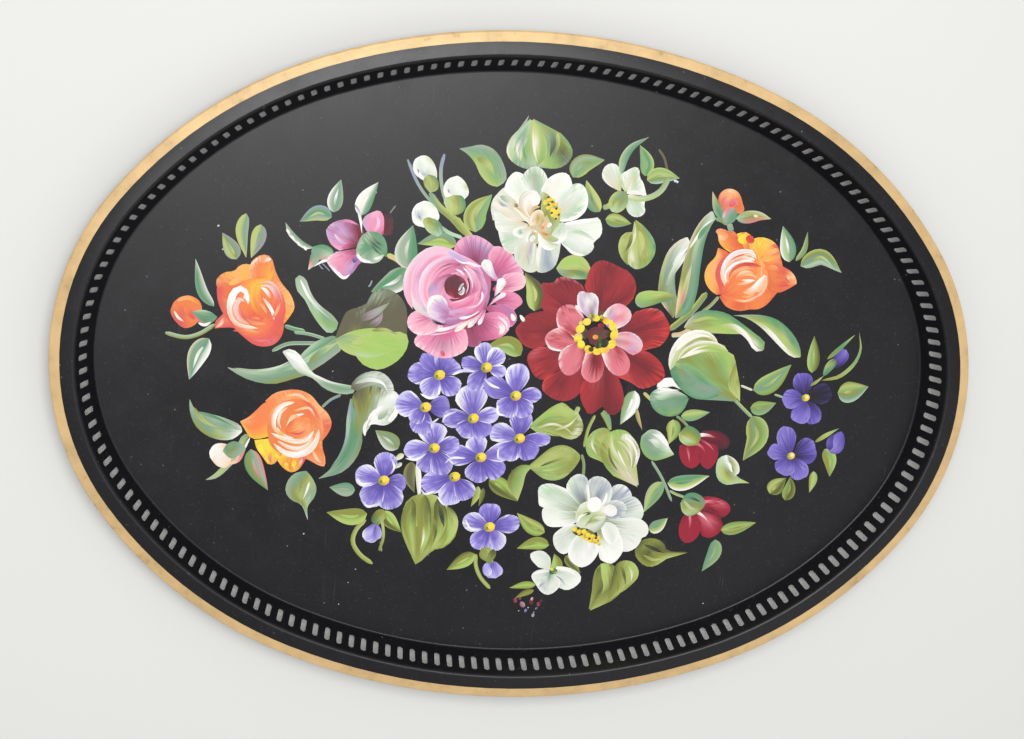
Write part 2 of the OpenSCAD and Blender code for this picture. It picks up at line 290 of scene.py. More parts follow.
class Spline:
    """A smooth line through given points, read by its length."""

    def __init__(self, points, steps=8):
        knots = [Vector(point) for point in points]
        ends = [2 * knots[0] - knots[1]] + knots + [2 * knots[-1] - knots[-2]]
        self.run = []
        for a, b, c, d in zip(ends, ends[1:], ends[2:], ends[3:]):
            self.run += [self._between(a, b, c, d, step / steps) for step in range(steps)]
        self.run.append(knots[-1])
        self.far = [0.0]
        for here, there in zip(self.run, self.run[1:]):
            self.far.append(self.far[-1] + (there - here).length)
        self.length = self.far[-1]

    @staticmethod
    def _between(a, b, c, d, part):
        gap_ab = math.sqrt((b - a).length) + 1e-6
        gap_bc = math.sqrt((c - b).length) + 1e-6
        gap_cd = math.sqrt((d - c).length) + 1e-6
        leave = (b - a) / gap_ab - (c - a) / (gap_ab + gap_bc) + (c - b) / gap_bc
        arrive = (c - b) / gap_bc - (d - b) / (gap_bc + gap_cd) + (d - c) / gap_cd
        leave, arrive = leave * gap_bc, arrive * gap_bc
        square, cube = part * part, part ** 3
        return (b * (2 * cube - 3 * square + 1) + leave * (cube - 2 * square + part)
                + c * (3 * square - 2 * cube) + arrive * (cube - square))

    def at(self, part):
        """Point after a given part of the whole length."""
        want = min(max(part, 0.0), 1.0) * self.length
        index = min(max(bisect.bisect_right(self.far, want), 1), len(self.run) - 1)
        before, after = self.far[index - 1], self.far[index]
        share = (want - before) / (after - before) if after > before else 0.0
        return self.run[index - 1].lerp(self.run[index], share)

    def across(self, part):
        """Unit direction to the left of the line."""
        ahead = self.at(part + 0.02) - self.at(part - 0.02)
        return Vector((-ahead.y, ahead.x)).normalized()


# Width of a stroke along its length, from its start to its end.
TOUCHES = {
    "leaf": lambda t: math.sin(math.pi * t ** 0.66) ** 0.9,
    "oval": lambda t: math.sqrt(max(0.0, 1 - (2 * t - 1) ** 2)),
    "comma": lambda t: (min(1.0, 5.5 * t) ** 0.5) * (1 - t) ** 0.75 * 1.12,
    "drop": lambda t: math.sqrt(max(0.0, 1 - (2 * t - 1) ** 2)) * (0.62 + 0.6 * t),
    "stem": lambda t: min(1.0, 14 * t + 0.5, 10 * (1 - t) + 0.35),
    "band": lambda t: math.sin(math.pi * t) ** 0.5,
}


class Canvas:
    """How many layers of paint already lie at each place on the floor."""
    CELL = 3.0
    layers = {}
    blanks = {}


def paint_rows(text, pots):
    """Rows of colours from the start of a stroke to its end.

    Each word is a row of pigment letters from left to right; a digit after it
    is how many tenths of the way along the row lies.
    """
    words = text.split()
    rows = []
    for index, word in enumerate(words):
        where = None
        if word[-1].isdigit():
            where = int(word[-1]) / 10
            word = word[:-1]
        if index == 0:
            where = 0.0
        elif index == len(words) - 1:
            where = 1.0
        rows.append([where, [pots[letter] for letter in word]])
    for index, row in enumerate(rows):
        if row[0] is None:
            later = next(i for i in range(index, len(rows)) if rows[i][0] is not None)
            before = rows[index - 1][0]
            row[0] = before + (rows[later][0] - before) / (later - index + 1)
    return rows


def row_colour(row, s):
    if len(row) == 1:
        return row[0]
    spot = min(max(s, 0.0), 1.0) * (len(row) - 1)
    index = min(int(spot), len(row) - 2)
    return row[index].lerp(row[index + 1], spot - index)


def colour_at(rows, s, t):
    if len(rows) == 1:
        return row_colour(rows[0][1], s)
    t = min(max(t, 0.0), 1.0)
    index = 0
    while index < len(rows) - 2 and t > rows[index + 1][0]:
        index += 1
    low, high = rows[index], rows[index + 1]
    share = (t - low[0]) / max(high[0] - low[0], 1e-6)
    return row_colour(low[1], s).lerp(row_colour(high[1], s), min(max(share, 0.0), 1.0))


class Brush:
    """Lays the strokes of one piece and joins them."""

    def __init__(self, context, name):
        self.context = context
        self.name = name
        self.settings = context.scene.tray_brush
        self.pots = {
            letter: Vector([to_linear(part) for part in
                            getattr(context.scene.tray_pigments, f"pot_{letter}")])
            for letter in PIGMENTS}
        self.hand = random.Random(f"{self.settings.seed} {name}")
        self.strokes = []

    # -- shapes of stroke

    def petal(self, root, rim, paint, drag=None, neck=0.05):
        """A fan of paint pulled from a rim towards one root point."""
        edge = Spline(rim)
        root = Vector(root)
        reach = sum((edge.at(i / 4) - root).length for i in range(5)) / 5

        def place(s, t):
            return root + (edge.at(s) - root) * (neck + (1 - neck) * t)
        self._lay(place, edge.length, reach, paint, drag, True)

    def blade(self, left, right, paint, drag=None):
        """A shape between two edges that share their first and last points."""
        one = Spline(left)
        two = Spline([left[0]] + list(right) + [left[-1]])
        wide = max((one.at(i / 6) - two.at(i / 6)).length for i in range(7))

        def place(s, t):
            t = BLADE_TIP + (1 - 2 * BLADE_TIP) * t
            return one.at(t).lerp(two.at(t), s)
        self._lay(place, wide, (one.length + two.length) / 2, paint, drag)

    def sweep(self, spine, width, paint, touch="leaf", drag=None):
        """One pull of the brush along a line."""
        line = Spline(spine)
        press = TOUCHES[touch]

        def place(s, t):
            return line.at(t) + line.across(t) * (width * (0.5 - s) * max(press(t), LEAST_PRESS))
        self._lay(place, width, line.length, paint, drag)

    def dab(self, centre, size, paint, turn=0.0, drag=None):
        """A short oval touch of the brush."""
        half = Vector((math.cos(math.radians(turn)), math.sin(math.radians(turn)))) * size[0] / 2
        middle = Vector(centre)
        self.sweep([middle - half, middle + half], size[1], paint, "oval", drag)

    # -- making

    def _blank(self, across, along, fan):
        """A closed slab of unit size, gridded on top, that each stroke is bent from."""
        key = (across, along, fan)
        if key not in Canvas.blanks:
            bpy.ops.mesh.primitive_grid_add(
                x_subdivisions=across, y_subdivisions=along, size=1, location=(0.5, 0.5, 1))
            slab = self.context.object
            bpy.ops.object.transform_apply(location=True, rotation=False, scale=False)
            bpy.ops.object.mode_set(mode="EDIT")
            bpy.ops.mesh.select_all(action="SELECT")
            bpy.ops.mesh.extrude_region_move(TRANSFORM_OT_translate={"value": (0, 0, -1)})
            bpy.ops.mesh.select_mode(type="EDGE")
            bpy.ops.mesh.select_all(action="DESELECT")
            bpy.ops.object.mode_set(mode="OBJECT")
            # The underside keeps only its rungs: wedges under a fan, cross strips elsewhere.
            corners = [vertex.co for vertex in slab.data.vertices]
            fixed, free = (1, 0) if fan else (0, 1)
            for edge in slab.data.edges:
                one, two = (corners[index] for index in edge.vertices)
                edge.select = (max(one.z, two.z) < 0.5 and 0.01 < one[fixed] < 0.99
                               and abs(one[fixed] - two[fixed]) < 1e-5
                               and abs(one[free] - two[free]) > 1e-5)
            bpy.ops.object.mode_set(mode="EDIT")
            bpy.ops.mesh.dissolve_edges(use_verts=True)
            bpy.ops.mesh.select_mode(type="VERT")
            bpy.ops.mesh.select_all(action="SELECT")
            bpy.ops.mesh.normals_make_consistent(inside=False)
            bpy.ops.object.mode_set(mode="OBJECT")
            bpy.ops.mesh.customdata_custom_splitnormals_clear()
            Canvas.blanks[key] = slab.data
            bpy.data.objects.remove(slab)
        return Canvas.blanks[key]

    def _lay(self, place, width, length, paint, drag, fan=False):
        rows = paint_rows(paint, self.pots)
        drag = self.settings.drag if drag is None else drag
        if max(width, length) < SMALL_STROKE:
            grid = SMALL_GRID
        else:
            grid = FAN_GRID if fan and width > WIDE_FAN else STROKE_GRID
        mesh = self._blank(*grid, fan).copy()
        spots = [(vertex.co.x, vertex.co.y, vertex.co.z) for vertex in mesh.vertices]
        where = {}
        for s, t, _ in spots:
            if (s, t) not in where:
                where[s, t] = place(s, t)
        cells = {(round(p.x / Canvas.CELL), round(p.y / Canvas.CELL)) for p in where.values()}
        near = {(i + a, j + b) for i, j in cells for a in (-1, 0, 1) for b in (-1, 0, 1)}
        layer = 1 + max(Canvas.layers.get(cell, 0) for cell in near)
        for cell in cells:
            Canvas.layers[cell] = layer
        top = FLOOR_TOP + self.settings.film + self.settings.step * layer
        glow = 1 + self.hand.uniform(-TINT_LUCK, TINT_LUCK)
        shift = (self.hand.uniform(0, GRAIN_LUCK), self.hand.uniform(0, GRAIN_LUCK))
        flat, tint, pull = [], [], []
        for s, t, level in spots:
            p = where[s, t]
            rim = min(s, 1 - s, t, 1 - t) < 1e-4
            z = FLOOR_TOP
            if level > 0.5:
                z = top - (RIM_DROP * self.settings.step if rim else 0.0)
            flat += [p.x * MM, p.y * MM, z]
            tint += [*(colour_at(rows, s, t) * glow), 1.0]
            pull += [*(colour_at(rows, s, t - drag) * glow), 1.0]
        mesh.vertices.foreach_set("co", flat)
        for key, values in (("Tint", tint), ("Drag", pull)):
            layer_data = mesh.color_attributes.new(key, "FLOAT_COLOR", "POINT")
            layer_data.data.foreach_set("color", values)
        track = mesh.uv_layers.active
        track.name = "Stroke"
        flow = []
        for loop in mesh.loops:
            s, t, _ = spots[loop.vertex_index]
            flow += [s * width + shift[0], t * length + shift[1]]
        track.data.foreach_set("uv", flow)
        self.strokes.append(bpy.data.objects.new(self.name, mesh))

    def finish(self, node, slot, material):
        """Join the strokes into one piece that stands for a node of the frame."""
        bpy.ops.object.select_all(action="DESELECT")
        for stroke in self.strokes:
            self.context.collection.objects.link(stroke)
            stroke.select_set(True)
        piece = self.strokes[0]
        self.context.view_layer.objects.active = piece
        bpy.ops.object.join()
        piece.name = self.name
        bpy.ops.object.mode_set(mode="EDIT")
        bpy.ops.mesh.select_all(action="SELECT")
        bpy.ops.mesh.normals_make_consistent(inside=False)
        bpy.ops.object.mode_set(mode="OBJECT")
        bpy.ops.object.shade_smooth_by_angle(angle=CREASE)
        piece.data.materials.clear()
        piece.data.materials.append(material)
        piece.select_set(False)
        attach(piece, "root")
        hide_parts(node)
        return piece


def oil_paint(context, name):
    """Oil paint under varnish, with the tracks of the bristles in colour and relief."""
    brush = context.scene.tray_brush
    finish = Finish(name)
    flow = finish.node("ShaderNodeUVMap", {"uv_map": "Stroke"}, ())
    pitch = MM / brush.bristle
    broad = finish.noise(finish.stretch(flow, (0.42 * pitch, 0.035, 1)), 1.0, 2.0, 0.5)
    fine = finish.noise(finish.stretch(flow, (1.3 * pitch, 0.05, 1)), 1.0, 3.0, 0.6, 0.1)
    hair = finish.noise(finish.stretch(flow, (3.4 * pitch, 0.12, 1)), 1.0, 2.0, 0.6)
    tint = finish.node("ShaderNodeAttribute", {"attribute_name": "Tint"}, (), "Color")
    pull = finish.node("ShaderNodeAttribute", {"attribute_name": "Drag"}, (), "Color")
    pulled = (broad * 0.55 + fine * 0.45).ramp(0.4, 0.6)
    body = finish.blend(pulled, tint, pull)
    light = (0.5 - fine) * 0.5 + (0.5 - hair) * 0.3 + 0.5
    body = finish.blend(0.55, body, finish.node(
        "ShaderNodeCombineColor", {}, (light, light, light)), "SOFT_LIGHT")
    place = finish.place()
    crumb = finish.noise(place, 900.0, 3.0, 0.7).ramp(0.66, 0.74)
    body = finish.blend(crumb * 0.35, body, (0.28, 0.25, 0.22, 1.0))
    finish.surface(Base_Color=body, Roughness=OIL_ROUGHNESS + fine * 0.18, Coat_Weight=0.12,
                   Coat_Roughness=0.22, Specular_IOR_Level=0.3)
    finish.bump(fine * 0.6 + hair * 0.4, brush.relief, 0.7)
    return finish.material


def smudge_lines(finish, place, turn, scale):
    """Thin straight scratches in one direction."""
    line = finish.noise(finish.stretch(place, scale, (0, 0, turn)), 1.0, 2.0, 0.5)
    return abs(line - 0.5).ramp(0.0, 0.006, 1.0, 0.0)


def give(node, material):
    """Give a node of the frame its finish."""
    piece = bpy.data.objects[node]
    for index in range(max(1, len(piece.material_slots))):
        if piece.material_slots:
            piece.material_slots[index].material = material
        else:
            piece.data.materials.append(material)


class TRAY_OT_lacquer(bpy.types.Operator):
    """Give the pan its black lacquer, with dust, fine scratches and worn specks"""
    bl_idname = "tray.lacquer"
    bl_label = "Black Lacquer"

    def execute(self, context):
        settings = context.scene.tray_finish
        finish = Finish("black_lacquer")
        place = finish.place()
        cloud = finish.noise(place, 9.0, 5.0, 0.6)
        mottle = finish.noise(place, 60.0, 4.0, 0.65)
        grain = finish.noise(place, 700.0, 3.0, 0.7)
        speck = finish.node("ShaderNodeTexVoronoi", {"feature": "F1"},
                            {"Vector": place, "Scale": 160.0, "Randomness": 1.0}, "Distance")
        lint = speck.ramp(0.05, 0.11, 1.0, 0.0) * mottle.ramp(0.52, 0.66)
        scratch = smudge_lines(finish, place, 0.9, (90.0, 3.0, 1.0))
        scratch = scratch * finish.noise(place, 22.0, 2.0).ramp(0.6, 0.7)
        haze = cloud.ramp(0.3, 0.75) * 0.5 + mottle.ramp(0.4, 0.8) * 0.5
        base = finish.blend(haze * 0.5, shade(settings.lacquer, 0.75),
                            shade(settings.lacquer, 1.7))
        base = finish.blend(grain.ramp(0.6, 0.75) * (0.25 * settings.dust), base,
                            (0.22, 0.21, 0.22, 1.0))
        base = finish.blend((lint * 0.5 + scratch * 0.12) * settings.dust, base,
                            (0.45, 0.44, 0.43, 1.0))
        finish.surface(Base_Color=base,
                       Roughness=settings.gloss + haze * 0.14 + lint * 0.2 + scratch * 0.1,
                       Specular_IOR_Level=0.42)
        finish.bump(cloud * 0.3 + mottle * 0.4 + grain * 0.12, 0.05 * MM, 0.5)
        give("tray_pan", finish.material)
        return {"FINISHED"}


class TRAY_OT_gild(bpy.types.Operator):
    """Give the border its bronze powder gold, thin and worn in patches"""
    bl_idname = "tray.gild"
    bl_label = "Gold Border"

    def execute(self, context):
        settings = context.scene.tray_finish
        finish = Finish("gold_paint")
        place = finish.place()
        cloud = finish.noise(place, 45.0, 4.0, 0.6)
        grain = finish.noise(place, 900.0, 3.0, 0.75)
        patch = finish.noise(place, 230.0, 4.0, 0.7)
        worn = (cloud * 0.45 + patch * 0.55).ramp(0.52, 0.72)
        base = finish.blend(cloud.ramp(0.3, 0.7), shade(settings.gold, 1.0),
                            shade(settings.gold, 0.8))
        base = finish.blend(worn * 0.7, base, shade(settings.gold_shade))
        base = finish.blend(grain.ramp(0.62, 0.74) * 0.5, base, shade(settings.gold_shade, 0.6))
        finish.surface(Base_Color=base, Roughness=0.4 + worn * 0.18 + grain * 0.1, Metallic=0.15,
                       Specular_IOR_Level=0.5)
        finish.bump(grain * 0.5 + patch * 0.5, 0.06 * MM, 0.6)
        give("gold_border", finish.material)
        return {"FINISHED"}


class TRAY_OT_wire(bpy.types.Operator):
    """Give the wire inside the rolled edge a dull steel finish"""
    bl_idname = "tray.wire"
    bl_label = "Rim Wire"

    def execute(self, context):
        finish = Finish("wire_steel")
        place = finish.place()
        drawn = finish.noise(finish.stretch(place, (300.0, 300.0, 900.0)), 1.0, 3.0, 0.6)
        rust = finish.noise(place, 120.0, 4.0, 0.7).ramp(0.6, 0.75)
        base = finish.blend(drawn, (0.32, 0.31, 0.3, 1.0), (0.2, 0.19, 0.18, 1.0))
        base = finish.blend(rust * 0.6, base, (0.16, 0.08, 0.04, 1.0))
        finish.surface(Base_Color=base, Roughness=0.42 + rust * 0.3, Metallic=0.85 - rust * 0.5)
        finish.bump(drawn, 0.02 * MM, 0.5)
        give("rim_wire", finish.material)
        return {"FINISHED"}


# ---------------------------------------------------------------- flowers


class PaintStep:
    """What every painting operator shares."""
    node = slot = ""

    def execute(self, context):
        brush = Brush(context, f"{self.node}_strokes")
        self.paint(brush)
        brush.finish(self.node, self.slot, oil_paint(context, f"{self.node}_oil"))
        return {"FINISHED"}


class TRAY_OT_pink_rose(PaintStep, bpy.types.Operator):
    """Paint the pink rose: back petals, the cup, its dark heart and the white strokes"""
    bl_idname = "tray.pink_rose"
    bl_label = "Pink Rose"
    node, slot = "pink_rose", "pink_paint"

    def paint(self, brush):
        petal, sweep, blade = brush.petal, brush.sweep, brush.blade
        petal((-36, 30), [(-29, 24), (-27, 19), (-30, 14), (-34, 13.5), (-39, 16), (-42, 24)],
            "tt QQ QQ MQ")
        petal((-36, 60), [(-50, 70), (-48, 78), (-42, 82.5), (-36, 83), (-29, 80), (-24, 76),
            (-20, 69)], "QdQ MQM4 qMM6 PLs8 ppP9 Ppp")
        petal((-26, 56), [(-28, 72), (-25, 77), (-20, 77), (-14, 74), (-9, 67), (-5, 62),
            (-8, 54)], "qQq qqM4 pqP6 PPp8 plp")
        petal((-24, 50), [(-17, 60), (-10, 62), (-5, 61), (-3, 56), (-5, 52), (-10, 50),
            (-15, 47)], "QqQ qqq3 Ppp6 ppp8 pcp")
        petal((-24, 44), [(-15, 50), (-9, 49), (-5, 46), (-4, 43), (-7, 40), (-12, 36), (-14, 37)],
            "QQQ qqq4 PPq7 PPP")
        petal((-28, 39), [(-20, 41), (-14, 41.5), (-9, 38), (-6.5, 33), (-9, 28), (-13, 27)],
            "Q Mqq MMq7 qMq9 PPp")
        petal((-33, 33), [(-24, 36), (-18, 36.5), (-12, 33), (-10.5, 28), (-12, 24), (-17, 20),
            (-24, 18), (-30, 17.5)], "QQQ MqQQ3 MPqQ5 qPpqQ7 qpPqQ9 PppqQ")
        sweep([(-19, 34), (-13.5, 30), (-12, 25)], 1.6, "l w l", "band")
        sweep([(-18, 30), (-15, 26), (-17, 22)], 3.4, "p w c P", "band")
        sweep([(-10.5, 36), (-8, 31.5)], 3.0, "w c v", "drop")
        sweep([(-5, 35.5), (-1.8, 31.5)], 2.4, "v c h", "drop")
        petal((-50, 30), [(-64, 22), (-69, 17), (-69, 13), (-66, 11), (-60, 8), (-54, 5.5),
            (-48, 5.5), (-41, 8), (-36.5, 12), (-36, 18), (-38, 24)],
            "qqq PqqP4 PPSpP6 pPPpP8 plppp9 ccpcp")
        sweep([(-52, 10), (-50, 6.5)], 2.6, "q e q", "oval")
        petal((-55, 33), [(-64, 34.5), (-70, 34), (-74, 30.5), (-74.5, 25), (-71.5, 21), (-67, 19),
            (-61, 19.5), (-52, 24)], "QqQ qqpq4 PpppP6 ppppc8 cpwwl")
        # the cup
        blade([(-32, 32), (-38, 28), (-46, 26.5), (-56, 28.5), (-64, 31), (-70, 34), (-75, 41),
            (-77, 50), (-76.5, 57), (-73, 63), (-70, 67), (-66, 71), (-60, 73.5), (-54, 73.5),
            (-48, 71.5), (-40, 69)], [(-29, 36), (-27, 40), (-25, 48), (-25, 56), (-29, 62),
            (-34, 66)], "LMqq cLPqM3 clpPq5 cplPqM7 wlpPPM9 plPP")
        sweep([(-72, 35), (-76, 45), (-76, 55), (-71, 65), (-62, 72), (-52, 72), (-44, 68)], 6,
            "p lpP clP lpP plP cpl l", "band")
        sweep([(-66, 36), (-71, 46), (-70, 58), (-62, 68), (-52, 69.5), (-40, 66)], 7,
            "lp pPLP lpPL plPP lpPL plPL lP", "band")
        sweep([(-60, 34), (-66, 44), (-65, 56), (-57, 65), (-46, 67), (-36, 64), (-29, 56)], 7,
            "lpP clpPq clpPq pLPq pPMq pLMq Lq", "band")
        sweep([(-57, 36), (-62, 44), (-61, 54), (-54, 61.5), (-45, 63.5), (-37, 60), (-31, 52)], 6,
            "pq ppPq lpPq PqM QtdQ qMq pMPq MP", "band")
        sweep([(-52, 71.5), (-46, 67.5), (-38, 65), (-31, 64)], 2.6, "l w w l p", "band")
        sweep([(-53, 72), (-45, 68), (-40, 66.5)], 3.0, "b L b", "band")
        sweep([(-58, 56), (-50, 60.5), (-44, 63), (-36, 61), (-30, 54), (-28, 46), (-31, 38)], 5,
            "P qM QM pP LMq SLM pMq Mq", "band")
        sweep([(-42, 64), (-37, 60), (-33, 52), (-33, 45), (-36, 39)], 3.6, "p lp PM pq PM q",
            "band")
        sweep([(-58, 38), (-58, 46), (-55, 54), (-49, 58)], 6, "lP LLP SPM qQM Qq", "band")
        sweep([(-60, 41), (-61, 47), (-59, 53)], 5, "P LL SL LM q", "band")
        # the heart
        brush.blade([(-46.6, 43.4), (-51.4, 45.6), (-53.6, 50), (-52.6, 55), (-48, 58.4)],
            [(-42, 44.6), (-39.6, 50), (-42, 56)], "qtt tttQ3 dddt5 dddQ7 Qtd9 QQ", drag=0.1)
        sweep([(-50, 42.5), (-45, 42), (-40, 45), (-38.5, 51), (-39.5, 57)], 2.6, "t r tq kd dk d",
            "band")
        sweep([(-44.5, 48), (-43, 51.5), (-41.5, 53)], 1.5, "w s w", "band")
        sweep([(-42, 51), (-41.5, 49), (-44, 47)], 1.4, "w S w", "band")
        sweep([(-45, 47), (-42.5, 46), (-40.5, 49.5)], 1.1, "s w s", "band")
        sweep([(-47.5, 61.5), (-44, 60), (-41.5, 57.5)], 1.3, "l w P", "band")
        sweep([(-43, 63), (-39, 59), (-36.5, 54), (-36, 50)], 1.3, "w l p", "band")
        sweep([(-40, 56), (-38.8, 51), (-40, 46)], 0.9, "p l q", "band")
        # lower right of the cup
        sweep([(-50, 38.5), (-42, 40), (-35, 45), (-31, 50)], 5, "Pq pPq qPq Pp", "band")
        sweep([(-52, 33), (-42, 34), (-34, 37), (-29, 42), (-26, 50)], 8,
            "LLMq PLPM PPqM qPMM LPMM MM", "band")
        sweep([(-56, 29), (-46, 28.5), (-38, 31), (-31, 36), (-27, 43)], 6,
            "LMM LMMQ MqMQ qPMQ MqQ", "band")
        petal((-49, 33), [(-51, 40.5), (-54, 44), (-58, 45), (-61, 42), (-63.5, 37), (-62.5, 33),
            (-58, 29.5), (-52, 27)], "MMM LLLM4 lLlL6 cclL8 wwcl")
        sweep([(-62.5, 36), (-61, 42), (-57, 44.5)], 2.6, "w w w c", "band")
        sweep([(-62, 31.5), (-57, 27.6), (-50, 26.5)], 1.6, "l k k M", "band")
        for spine, width, paint in (
                ([(-50, 40), (-42, 42.5), (-36, 46)], 1.2, "P l p"),
                ([(-48, 37.5), (-40, 39), (-33, 42.5)], 1.0, "P q p"),
                ([(-40, 37), (-33, 39.5), (-30, 41.5)], 1.5, "P l w"),
                ([(-30, 49), (-29.5, 44), (-33, 39)], 1.6, "l w P"),
                ([(-33, 48), (-34, 43), (-38, 39)], 1.6, "p P q"),
                ([(-43, 31), (-36, 32.5), (-30.5, 36.5)], 2.2, "l w w l"),
                ([(-46, 33.5), (-38, 34.5), (-32, 37.5)], 1.2, "M P q"),
                ([(-30.5, 27.5), (-28.5, 32), (-26.5, 38)], 2.8, "w l P q"),
                ([(-37, 25.5), (-33, 30), (-27, 38)], 3.2, "w l p P q"),
                ([(-45, 22.5), (-39, 27.5), (-28, 38)], 3.4, "c c A P P q"),
                ([(-57, 22.3), (-50, 24), (-43, 27), (-33, 34)], 2.4, "w w l p P q"),
                ([(-60, 19.5), (-50, 21.5), (-42, 25)], 1.2, "l p q"),
                ([(-41, 29), (-34, 32.5), (-28, 37.5)], 1.4, "q Q q"),
                ([(-15, 48.5), (-20, 45), (-25, 40)], 3.2, "w l p P")):
            sweep(spine, width, paint, "comma")
        sweep([(-30.5, 68.5), (-27, 63), (-23, 58), (-19, 55.5)], 7.4, "wvw wvw wvL2 Lwl4 LLq7 q",
            "comma")
        sweep([(-17.5, 58), (-19, 53), (-22, 46)], 6.4, "www mvw2 wwl5 lLP q", "comma")


class TRAY_OT_dahlia(PaintStep, bpy.types.Operator):
    """Paint the red dahlia: broad outer petals, small striped ones and the yellow ring"""
    bl_idname = "tray.dahlia"
    bl_label = "Red Dahlia"
    node, slot = "red_dahlia", "red_paint"

    def paint(self, brush):
        petal, sweep, dab = brush.petal, brush.sweep, brush.dab
        for root, rim, paint in (
                ((35, 35), [(36, 51), (32, 57), (24, 60.5), (17, 60.5), (14, 57), (6.5, 56),
                    (8.5, 50), (8, 41), (14, 37)], "ttt trtr4 rtrr7 rtrr9 rTrr"),
                ((45, 36), [(34, 56), (36, 66), (39, 71), (43, 73), (49, 72), (55, 69.5), (61, 67),
                    (65.5, 62), (67, 56), (65, 49), (60, 44)],
                    "ttt rtrtr4 rrtrtr6 RrtrrR9 rrrrRR"),
                ((30, 28), [(20, 41), (8, 38.5), (0, 36), (-4.5, 30), (-7, 26), (-4, 20), (0, 16),
                    (8, 14)], "ttt trtr4 rtrr7 rrtr9 rrrr"),
                ((34, 18), [(8, 16), (3, 12), (2, 8), (4, 3), (8, -3), (13, -5), (18, -4),
                    (24, 0)], "trt rtrt4 rrtr7 TrRr9 Rrrr"),
                ((39, 14), [(21, 0), (14, -5), (13.5, -11), (18, -15), (24, -17.5), (30, -17.5),
                    (36, -14), (40, -8)], "trt rtrt4 rrtrr7 eRrrr9 Oerrr"),
                ((58, 28), [(72, 16), (80, 19), (86, 21), (90, 26), (91.5, 33), (89, 38), (84, 44),
                    (77, 44.8), (68, 42)], "ttt trtrt4 rtrtr6 rRrRrr8 rRRRRr9 RORrTR"),
                ((58, 18), [(60, 0), (70, -3.5), (77, -7), (84, -5), (90, -1), (91.5, 2), (89, 9),
                    (84, 14), (77, 17.5), (68, 17)], "rtt TrtrT4 RrtrR7 RrRrr9 ReRRrr"),
                ((50, 16), [(37, -9), (39, -17), (42, -22), (45, -25.5), (49, -23.5), (53, -20),
                    (58, -25), (63, -24), (66.5, -17), (65, -8), (60, 2)],
                    "Ttt rrtrt4 rrtrr7 Rrttrr9 rrttrr")):
            petal(root, rim, paint, 0.3)
        for spine, width, paint in (
                ([(24, 20), (36, 26), (40, 24)], 9, "t z z k"),
                ([(38, 40), (46, 38), (54, 33)], 6, "t z t"),
                ([(54, 14), (58, 20), (60, 27)], 5, "t t z")):
            sweep(spine, width, paint, "oval")
        petal((34, 28), [(35, 38), (30, 43), (25, 44), (20, 42), (18, 37), (19.5, 30), (25, 25.5),
            (32, 23)], "tTr TTrr4 TTTr6 TrTT8 uTTu9 TTuww")
        sweep([(18.5, 36), (20, 30), (25, 25.5), (32, 23)], 1.4, "u w w w", "band")
        petal((33, 21), [(22, 30), (14.5, 26), (12, 22), (14, 17), (20, 14.2), (26, 14.5),
            (32, 18)], "tTr rTrT4 TrTu6 uTTT8 uTTw9 wTTw")
        sweep([(12.5, 21), (16, 16), (24, 14.2)], 1.6, "u w w", "band")
        petal((35, 21), [(27, 18), (23, 14), (22, 8), (25, 1), (29, -1.2), (34, 1), (38, 8),
            (39, 17)], "rTr TTTr4 uTTr6 uTTrr8 wuTTr9 wwTTr")
        petal((46, 18), [(39, 15), (37.5, 6), (37.2, 1), (40, -3), (45, -5), (50, -2), (52, 9)],
            "rtr Ttr4 uTrr6 uTTr8 wTTr9 wwTTr")
        petal((53, 21), [(49, 14), (53, 6), (58, 1.3), (62, 0.5), (67, 3), (68, 9), (64, 16),
            (58, 20)], "rTr uTrr4 wTTr6 wTTTr8 wuTTTr9 wwTTTr")
        petal((54, 23), [(57, 27.5), (62, 29), (68, 28.5), (74, 24), (75, 19), (72, 15.5),
            (69, 14.3), (64, 17), (58, 20)], "LSL LuTuT4 LTuLTu7 uuLuTuw9 uLwuuww", 0.1)
        petal((51, 31), [(47, 38), (51, 44), (56, 46.7), (60, 46), (65, 42), (65.7, 38), (62, 33),
            (56, 30)], "BLT uLTuL4 wSuTuw6 wuPuLw9 wwTuww", 0.1)
        petal((41, 34), [(31, 42), (30, 48), (30.5, 52), (33, 53), (36.5, 52), (40, 52.3),
            (43.5, 49), (44, 44), (44, 36)], "SzS SlSVS4 lSwSlS6 wlSwlw9 wwlwww", 0.1)
        sweep([(29.5, 44), (33, 39), (36, 35.5)], 2.6, "w u p", "comma")
        for turn, reach, size, paint in (
                (8, 11, 6.4, "Y y y I"), (38, 12, 6, "y y Y"), (66, 12, 5.4, "y Y z"),
                (98, 12.5, 5.2, "y y z"), (128, 12, 5.6, "y y I"), (158, 12, 6.4, "y y Y"),
                (188, 12, 6.6, "I y y z"), (214, 11.5, 6, "y y z"), (244, 10.5, 6, "y Y y"),
                (274, 10, 6.4, "Y y Y"), (304, 10.5, 6.4, "y Y I"), (334, 11, 6.6, "y y Y"),
                (82, 13.5, 3, "J y"), (110, 14.5, 3, "z y"), (142, 14, 3, "I y"),
                (52, 13, 3.4, "y y"), (20, 12.5, 3.4, "y I")):
            angle = math.radians(turn)
            spot = (45 + reach * math.cos(angle), 25 + reach * 0.93 * math.sin(angle))
            dab(spot, (size, size * 0.8), paint, turn + 70)
        for spot, size, paint in (
                ((45, 26), (13, 10.5), "t dz t"), ((49.5, 21), (7, 6), "z k z"),
                ((43, 22), (6, 5), "d t d"), ((51, 27), (5, 5), "z d k"),
                ((38.5, 25.5), (4, 3.4), "d t"), ((44, 24.5), (3.6, 3), "Y o Y"),
                ((46, 19.5), (4.2, 4.6), "z k J"), ((42, 16.5), (3.4, 3), "z k"),
                ((46, 16), (5, 2.2), "y Y"), ((47, 32), (4.6, 3), "r t d")):
            dab(spot, size, paint)


